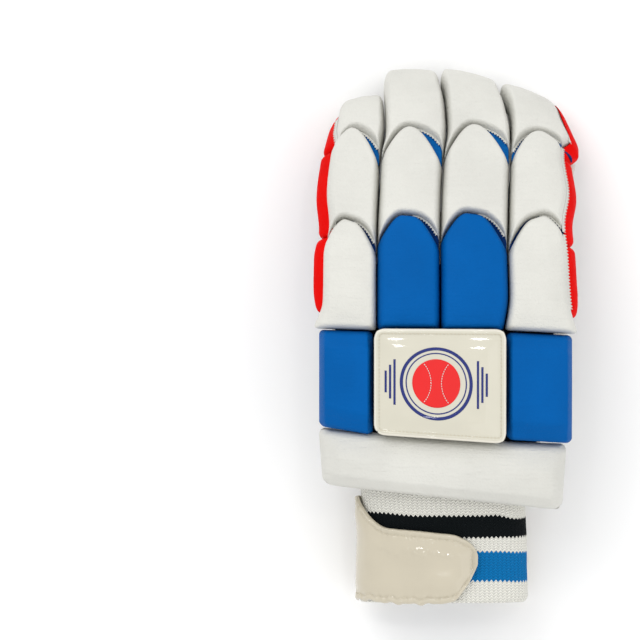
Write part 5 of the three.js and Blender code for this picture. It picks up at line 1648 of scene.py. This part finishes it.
class GLOVE_OT_palm(Operator):
    """Leather palm, its patches, stitches and the piped wrist slit"""

    bl_idname = "glove.palm"
    bl_label = "Palm"

    def execute(self, context):
        pitch = context.scene.glove_sizes.stitch_pitch * MM
        station, t = grid(np.linspace(-HEEL_REACH, ROOT_REACH, 190), np.linspace(0, 1, 170))
        angle = mix(palm_edge(station), PALM_END, t)
        relief = palm_relief(station, angle) * np.sin(np.pi * t) ** 0.5
        outer, inner = on_hand(station, angle, relief), on_hand(station, angle, -LEATHER_WALL)
        points, quads = two_skins(outer, inner, keep=~inside_thumb(outer, -2.6))
        add("palm_skin", (points, quads), "palm leather", "leather", ["palm_leather"])

        a, b = grid(crowded(50), crowded(60))
        s = mix(-HEEL_REACH * 0.97, -HEEL_REACH * 0.1, b)
        angle = palm_edge(s) + mix(*HEEL_PATCH, a)
        rim = shoulder(np.minimum(rim_share(a, 30), rim_share(b, 60)), 0.8)
        outer = on_hand(s, angle, 0.45 + (0.85 + 0.25 * ripple(s, angle, 162, 5.0)) * rim)
        points, quads = pillow(outer, on_hand(s, angle, 0.4))
        add("heel_overlay", (points, quads), "palm leather", "leather", ["heel_patch"])

        rows = []
        for share in (0.14, 0.86):
            s = np.linspace(-HEEL_REACH * 0.93, -HEEL_REACH * 0.14, 60)
            rows.append(stitched_on(on_hand, s, palm_edge(s) + mix(*HEEL_PATCH, share), 1.25, pitch, 0.5))
        for place in (-0.14, -0.2, -0.9):
            angle = palm_edge(place * HEEL_REACH) + np.linspace(7, 31, 40)
            rows.append(stitched_on(on_hand, place * HEEL_REACH, angle, 1.25, pitch, 0.5))
        for place in (33.0, 30.0):
            rows.append(stitched_on(on_hand, place, np.linspace(236, 326, 80), 0.35, pitch, 0.5))
        seam = np.linspace(SLIT_START + 3, ROOT_REACH, 90)
        edge = round_cord(on_hand(seam, PALM_START, 0.5), 1.2, uprights(on_hand, seam, PALM_START, 0.0), 12)
        add("palm_side_seam", edge, "palm leather", "leather")
        add("palm_stitches", joined(rows), "grey thread", "leather")

        turn = np.linspace(0, 0.5 * math.pi, 14)
        for name, edge, other, top in (("palm", palm_edge, gusset_edge, 2.6), ("back", gusset_edge, palm_edge, 2.3)):
            s = np.concatenate([np.linspace(-HEEL_REACH, SLIT_START - 1, 60), SLIT_START - 1 + 3.5 * np.sin(turn)[1:]])
            start, facing = on_hand(s, edge(s), 0.0), on_hand(s, other(s), 0.0)
            middle = (start + facing) / 2
            inward = middle - start
            width = np.maximum(np.linalg.norm(inward, axis=1, keepdims=True), 0.05)
            line = start + inward / width * np.minimum(1.1, width)
            line[60:] = mix(line[59], middle[60:], (1 - np.cos(turn[1:]))[:, None])
            up = uprights(on_hand, s, edge(s), 0.0)
            cord = round_cord(line + up * 0.4, top, up, 16, squash=0.8)
            add(f"slit_{name}_edge", cord, "palm leather", "leather", [f"slit_piping_{name}"])
        return {"FINISHED"}


# Thumb


def thumb_pad(start, end, angles, seed, round_front, spreads):
    """A pad under the thumb: full height in the middle, rounded at its sides and ends, flat on the table."""
    a, b = grid(crowded(60), crowded(60))
    s = mix(start, end, a)
    pulled = 9 * smooth((a - 0.45) / 0.55) if round_front else 3 * (1 - smooth(a / 0.4))
    angle = mix(angles[0] + pulled, angles[1] - 1.6 * pulled, b)
    arc = math.radians(angles[1] - angles[0]) * THUMB_WIDTH / 2.4
    rise = shoulder(a * (end - start), spreads[0]) * shoulder((1 - a) * (end - start), spreads[1])
    rise = rise * shoulder(rim_share(b, arc), 6.0)
    full = mix(10.5, 7.3, smooth((s - THUMB_LENGTH) / THUMB_TIP)) if round_front else 10.5 + 0 * s
    offset = 0.8 + (full - 0.8 + 0.25 * ripple(s, angle * 0.4, seed)) * rise
    outer = on_thumb(s, angle, offset)
    return pillow(outer, on_thumb(s, angle, 0.8))




class GLOVE_OT_thumb(Operator):
    """Thumb stall, its pads, net strip, fin and stitches"""

    bl_idname = "glove.thumb"
    bl_label = "Thumb"

    def execute(self, context):
        sizes = context.scene.glove_sizes
        pitch = sizes.stitch_pitch * MM
        end = THUMB_LENGTH + THUMB_TIP * math.pi / 2
        s = np.concatenate([np.linspace(0, THUMB_LENGTH, 80), past_dome(THUMB_LENGTH, end)])
        station, turn = grid(s, np.linspace(0, 360, 72, endpoint=False))
        outer, inner = on_thumb(station, turn, 0.0), on_thumb(station, turn, -LEATHER_WALL)
        palm = on_hand(*grid(np.linspace(-HEEL_REACH, ROOT_REACH, 80), np.linspace(200, 340, 80)), 0.4)
        low = palm.reshape(-1, 3)[::7]
        nearest = ((outer[..., None, :2] - low[:, :2]) ** 2).sum(-1).argmin(-1)
        keep = outer[..., 2] < low[nearest, 2] + 3.0
        add("thumb_leather", two_skins(outer, inner, closed=True, keep=keep), "palm leather", "leather", ["thumb_stall"],
            weld=WELD)

        pad = thumb_pad(THUMB_LENGTH * 0.2, THUMB_JOINT - 0.2, (176, 300), 171, False, (6, 3))
        add("thumb_white_foam", pad, "white leather", "white_skin", ["thumb_base_pad"], fill=0.8)
        end = THUMB_LENGTH + THUMB_TIP * math.radians(62)
        pad = thumb_pad(THUMB_JOINT + 0.2, end, (176, 291), 172, True, (3, 9))
        add("thumb_blue_foam", pad, "blue leather", "blue_skin", ["thumb_tip_pad"], fill=0.85)

        a, b = grid(np.linspace(0, 1, 70), np.linspace(0, 1, 16))
        s, angle = mix(THUMB_LENGTH * 0.24, THUMB_LENGTH, a), mix(290, 356, b)
        points, quads = two_skins(on_thumb(s, angle, 1.0), on_thumb(s, angle, 0.4))
        add("thumb_net_backing", (points, quads), "net backing", "net", ["thumb_mesh"])
        add("thumb_net", self.net(), "white net", "net")

        a, b = grid(np.linspace(0, 1, 60), np.linspace(0, 1, 20))
        s = mix(THUMB_LENGTH * 0.5, THUMB_LENGTH + THUMB_TIP * 0.15, a)
        reach = 9 * np.sin(np.pi * a.clip(0.03, 0.97)) ** 0.35
        middle = on_thumb(s, 358.0, 1.8 + (reach + 1) * b)
        thick = 1.5 * shoulder(np.minimum(rim_share(a, 60), (1 - b) * 9), 1.5) * (1 - 0.3 * b)
        lift = np.stack([0 * thick, 0 * thick, thick], -1)
        points, quads = two_skins(middle + lift, middle - lift)
        add("thumb_seam_fin", (points, quads), "palm leather", "leather", ["thumb_fin"])

        rows = []
        line = on_thumb(np.linspace(THUMB_LENGTH * 0.53, THUMB_LENGTH * 0.98, 60), 358.0, 4.4)
        down = np.tile([0, 0, -1.0], (60, 1))
        rows.append(stitched(line + [0, 0, -1.25], down, pitch, 0.5))
        for share in (0.235, 0.265):
            rows.append(stitched_on(on_thumb, THUMB_LENGTH * share, np.linspace(293, 352, 40), 1.15, pitch * 0.9, 0.45))
        add("thumb_stitches", joined(rows), "grey thread", "leather")
        span = np.linspace(THUMB_JOINT + 6, THUMB_LENGTH + THUMB_TIP * 0.5, 60)
        side = 290 - 14 * smooth((span - THUMB_JOINT - 6) / 60)
        points, quads = round_cord(on_thumb(span, side, 2.2), 1.5, uprights(on_thumb, span, side, 1.4))
        add("thumb_blue_binding", (points, quads), "navy lining", "blue_skin")
        add("thumb_binding_stitches", stitched_on(
            on_thumb, span[4:-4], side[4:-4], 3.6, pitch * 0.9, 0.45), "blue thread", "blue_skin")
        add("thumb_pinked_edge", self.fringe(sizes.tooth_pitch * MM), "white leather", "white_skin")
        return {"FINISHED"}

    def fringe(self, pitch):
        """The base pad's pinked edge, whose teeth lie on the blue pad."""
        count = int(44 / pitch) * 4 + 1
        angle = np.linspace(186, 291, count)[:, None]
        tooth = teeth(count)[:, None]
        share = (angle - 186) / 105
        sway = 2.2 * np.sin(share * 2 * math.pi) ** 2
        along = THUMB_JOINT + np.concatenate([-1.6 + 0 * tooth, 0.3 + 0 * tooth, 0.9 + 1.2 * tooth + sway], 1)
        offset = np.array([[9.0, 8.4, 8.9]]) * np.sin(np.radians(mix(40, 140, share))) ** 0.25 + 0.25 * sway
        return two_skins(on_thumb(along, angle, offset), on_thumb(along, angle, offset - 0.5))

    def net(self):
        """Hexagonal netting over its backing: flat rings set in offset rows."""
        turn = np.linspace(0, 2 * math.pi, 6, endpoint=False)
        parts = []
        pitch = 2.9
        for row, angle in enumerate(np.arange(293, 356, 6.6)):
            start = THUMB_LENGTH * 0.25 + (row % 2) * pitch / 2
            s = np.arange(start, THUMB_LENGTH * 0.985, pitch)
            ring = lambda r, lift: on_thumb(
                s[:, None] + r * np.cos(turn)[None], angle + r * np.sin(turn)[None] * 6.6 / 2.6, 1.0 + lift)
            loops = np.stack([ring(1.75, 0.0), ring(1.6, 0.55), ring(1.25, 0.55), ring(1.1, 0.0)], 1)
            count, levels, sides = loops.shape[:3]
            index = np.arange(count * levels * sides).reshape(count, levels, sides)
            index = np.concatenate([index, index[:, :1]], axis=1)
            index = np.concatenate([index, index[..., :1]], axis=2)
            quads = np.concatenate([grid_quads(part) for part in index])
            parts.append((loops.reshape(-1, 3), quads))
        return joined(parts)


# Cuff


def cuff_arc():
    """Distance round the wristband in millimetres at each whole degree, along its middle."""
    angle = np.arange(-140, 341)
    return angle, run(on_cuff(0.6, angle, 0.0))


CUFF_ANGLES, CUFF_ARC = cuff_arc()


def cuff_angle(distance):
    """Angle at a distance round the wristband."""
    return np.interp(distance, CUFF_ARC, CUFF_ANGLES)


def cuff_distance(angle):
    """Distance round the wristband at an angle."""
    return np.interp(angle, CUFF_ANGLES, CUFF_ARC)


class GLOVE_OT_wristband(Operator):
    """The ribbed, striped wristband"""

    bl_idname = "glove.wristband"
    bl_label = "Wristband"

    def execute(self, context):
        ribs = context.scene.glove_sizes.ribs
        at, u = grid(np.linspace(0, 1, 72), np.linspace(0, 1, ribs * 6 + 1))
        turn = cuff_angle(mix(cuff_distance(-134), cuff_distance(206), u))
        rib = np.abs(np.sin(u * ribs * np.pi))
        sag = 0.5 * ripple(u * 90, at * 50, 181, 9.0)
        rolled = 0.8 * smooth((at - 0.955) / 0.04) - 0.9 * smooth((at - 0.985) / 0.015)
        index_side = smooth((np.cos(np.radians(turn)) - 0.5) / 0.4)
        corner = 2.2 * smooth((at - 0.93) / 0.07) ** 2 * index_side
        outer = on_cuff(at, turn, 0.05 + 0.12 * rib + sag * 0.5 + rolled - 0.2 - corner)
        inner = on_cuff(at, turn, -2.4 + 0.2 * rib - corner)
        heel = [float(k) for k in HAND_LINE.at(-HEEL_REACH)]
        for skin in (outer, inner):
            skin[..., 1] += (1 - at) ** 3 * math.tan(heel[2]) * (skin[..., 2] - heel[1])
        back = smooth((u - 0.4) / 0.2) * (1 - smooth((u - 0.75) / 0.1))
        slant = 0.02 * back * (1 - 0.8 * smooth((at - 0.42) / 0.15))
        droop = index_side * (0.012 + 0.06 * (1 - smooth((at - 0.2) / 0.22)))
        add("wristband_knit", two_skins(outer, inner), "wristband knit", "knit", ["wristband"],
            uv=on_both(u, at - slant - droop))
        return {"FINISHED"}


def strap_outline(angle, v):
    """Station on the wristband's length of the strap, v from 0 at its upper to 1 at its lower edge."""
    round_band = cuff_distance(angle)
    sway = 0.007 * np.sin(round_band * 0.62) + 0.005 * np.sin(round_band * 1.07)
    sway = sway * smooth((angle - 86) / 12) * (1 - smooth((angle - 180) / 40))
    return mix(eased_column(STRAP, "upper", angle), eased_column(STRAP, "lower", angle) + sway, v)


def strap_width(angle):
    """The strap's width in millimetres."""
    return (strap_outline(angle, 1.0) - strap_outline(angle, 0.0)) * CUFF_LENGTH


def strap_level(angle, v):
    """The strap's thickness over the wristband: a rounded edge, a stitched groove, and a swollen middle."""
    ends = np.minimum(angle - STRAP_START + 0.4, STRAP_END - angle) * 0.9
    edge = np.minimum(rim_share(v, strap_width(angle)), ends)
    groove_dip = np.exp(-(((edge - STRAP_SEAM_INSET) / 0.7) ** 2))
    round_band = cuff_distance(angle)
    puckered = smooth(edge / 1.2) * (1 - smooth((edge - 3) / 3))
    pucker = 0.3 * np.sin(round_band * 1.5 + 1.5 * np.sin(round_band * 0.4)) * puckered
    return 1.2 + 1.8 * shoulder(edge, 1.2, 2.0) - 0.5 * groove_dip + pucker + 0.7 * smooth((edge - 4) / 6)


def strap_room(at, angle):
    """The most that the strap may stand out from the wristband before it meets the table."""
    return np.maximum(on_cuff(at, angle, 0.0)[..., 2] + SHIFT[2] - 0.55, 1.3)


def strap_point(angle, v, lift=0.0):
    """A point on the strap's face."""
    at = strap_outline(angle, v)
    level = np.minimum(strap_level(angle, v) + lift, strap_room(at, angle))
    return on_cuff(at, angle, level)


class GLOVE_OT_strap(Operator):
    """The glossy strap round the little-finger side, with its stitches"""

    bl_idname = "glove.strap"
    bl_label = "Strap"

    def execute(self, context):
        angle, v = grid(mix(STRAP_START, STRAP_END, crowded(260)), crowded(60))
        at = strap_outline(angle, v)
        round_band = cuff_distance(angle)
        puffs = 0.5 * ripple(round_band, at * 61, 191, 5.0) * np.sin(np.pi * v)
        folds = np.exp(-(((v - 0.3 - 0.03 * np.sin(round_band * 0.5)) / 0.035) ** 2)) * np.sin(round_band * 0.75) ** 2
        puffs = puffs + 0.5 * folds * smooth((angle - 84) / 6) * (1 - smooth((angle - 132) / 10))
        skins = pillow(strap_point(angle, v, puffs), on_cuff(at, angle, 1.2))
        band = add("strap_band", skins, "strap gloss", "gloss_skin", ["strap"])
        turned = np.linspace(STRAP_START, STRAP_END, 400)
        along, wide = cuff_distance(turned) / MM, strap_width(turned) / MM
        area = float(((wide[1:] + wide[:-1]) / 2 * np.diff(along)).sum())
        turned, side = np.linspace(78.5, 331, 260), np.linspace(0, 1, 60)[1:]
        inset = STRAP_SEAM_INSET / strap_width(turned)
        angles = np.concatenate([turned, turned[-1] + 0 * side, turned[-2::-1], turned[0] + 0 * side])
        shares = np.concatenate([
            inset, mix(inset[-1], 1 - inset[-1], side), (1 - inset)[-2::-1], mix(1 - inset[0], inset[0], side)])
        up = uprights(on_cuff, strap_outline(angles, shares), angles, 2.0)
        pitch = context.scene.glove_sizes.stitch_pitch * MM * 0.8
        add("strap_stitches", stitched(strap_point(angles, shares), up, pitch, 0.5), "cream thread", "gloss_skin")
        centre = cuff_distance(272)

        def palm_part(x, y, lift):
            turned = cuff_angle(centre + x)
            upper, lower = strap_outline(turned, 0.0), strap_outline(turned, 1.0)
            v = (0.55 - y / CUFF_LENGTH - upper) / (lower - upper)
            return strap_point(turned, v, lift + 0.35)

        put_print("strap", palm_part, 0.8)
        return {"FINISHED"}


class GLOVE_OT_stage(Operator):
    """Pale floor, soft studio light and the camera straight above"""

    bl_idname = "glove.stage"
    bl_label = "Stage"

    def execute(self, context):
        scene = context.scene
        span = np.linspace(-3, 3, 3)
        x, y = grid(span, span)
        mesh = bpy.data.meshes.new("floor")
        corners = np.stack([x, y, 0 * x], -1).reshape(-1, 3)
        mesh.from_pydata(corners.tolist(), [], grid_quads(np.arange(9).reshape(3, 3)).tolist())
        floor = bpy.data.objects.new("floor", mesh)
        material, _, shader = plain_shader("pale floor", 0.9)
        shader.inputs["Base Color"].default_value = (0.93, 0.93, 0.93, 1)
        mesh.materials.append(material)
        scene.collection.objects.link(floor)
        floor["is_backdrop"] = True

        world = bpy.data.worlds.new("studio")
        world.use_nodes = True
        world.node_tree.nodes["Background"].inputs[0].default_value = (1, 1, 1, 1)
        world.node_tree.nodes["Background"].inputs[1].default_value = 0.92
        scene.world = world
        for name, place, size, power in (
            ("key", (-0.7, 0.9, 1.3), 1.0, 8.0), ("fill", (1.0, -0.6, 1.2), 1.5, 4.5),
            ("left panel", (-0.42, 0.5, 2.1), 0.13, 1.2), ("right panel", (0.34, 0.42, 2.1), 0.13, 1.2),
            ("front panel", (-0.12, -0.62, 2.1), 0.12, 1.0),
        ):
            light = bpy.data.lights.new(name, "AREA")
            light.size, light.energy = size, power
            lamp = bpy.data.objects.new(name, light)
            lamp.location = place
            lamp.rotation_euler = (Vector((0, 0, 0.04)) - Vector(place)).to_track_quat("-Z", "Y").to_euler()
            scene.collection.objects.link(lamp)

        camera = bpy.data.cameras.new("camera")
        camera.sensor_width, camera.lens = 36, 372.0
        eye = bpy.data.objects.new("camera", camera)
        eye.location = ((-65.5 + SHIFT[0]) / MM, (8.8 + SHIFT[1]) / MM, 3.5)
        scene.collection.objects.link(eye)
        scene.camera = eye
        scene.view_settings.view_transform = "Standard"
        return {"FINISHED"}


STEPS = (
    GLOVE_OT_stage, GLOVE_OT_finger_rolls, GLOVE_OT_joint_linings, GLOVE_OT_side_strips, GLOVE_OT_knuckle_row,
    GLOVE_OT_centre_plate, GLOVE_OT_wrist_roll, GLOVE_OT_finger_stalls, GLOVE_OT_palm_strips, GLOVE_OT_tip_caps,
    GLOVE_OT_index_side_pads, GLOVE_OT_hand_panels, GLOVE_OT_palm, GLOVE_OT_thumb, GLOVE_OT_wristband, GLOVE_OT_strap,
)


class GLOVE_PT_pieces(Panel):
    """Lists the glove's sizes, colours and steps"""

    bl_label = "Batting Glove"
    bl_idname = "GLOVE_PT_pieces"
    bl_space_type = "VIEW_3D"
    bl_region_type = "UI"
    bl_category = "Glove"

    def draw(self, context):
        for group in (context.scene.glove_sizes, context.scene.glove_colours):
            for name in group.bl_rna.properties.keys():
                if name not in ("rna_type", "name"):
                    self.layout.prop(group, name)
        for step in STEPS:
            self.layout.operator(step.bl_idname)


CLASSES = (GloveSizes, GloveColours, *STEPS, GLOVE_PT_pieces)


def register():
    """Adds the classes and the scene's two groups of values."""
    for cls in CLASSES:
        bpy.utils.register_class(cls)
    bpy.types.Scene.glove_sizes = PointerProperty(type=GloveSizes)
    bpy.types.Scene.glove_colours = PointerProperty(type=GloveColours)


def unregister():
    """Takes them away again."""
    del bpy.types.Scene.glove_colours
    del bpy.types.Scene.glove_sizes
    for cls in reversed(CLASSES):
        bpy.utils.unregister_class(cls)


def main():
    """Makes every piece in order."""
    register()
    for step in STEPS:
        group, name = step.bl_idname.split(".")
        getattr(getattr(bpy.ops, group), name)()
    boxes = {"cad": CAD_BOX, "visual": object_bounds()}
    as_lists = {key: [list(map(float, corner)) for corner in box] for key, box in boxes.items()}


if __name__ == "__main__":
    main()
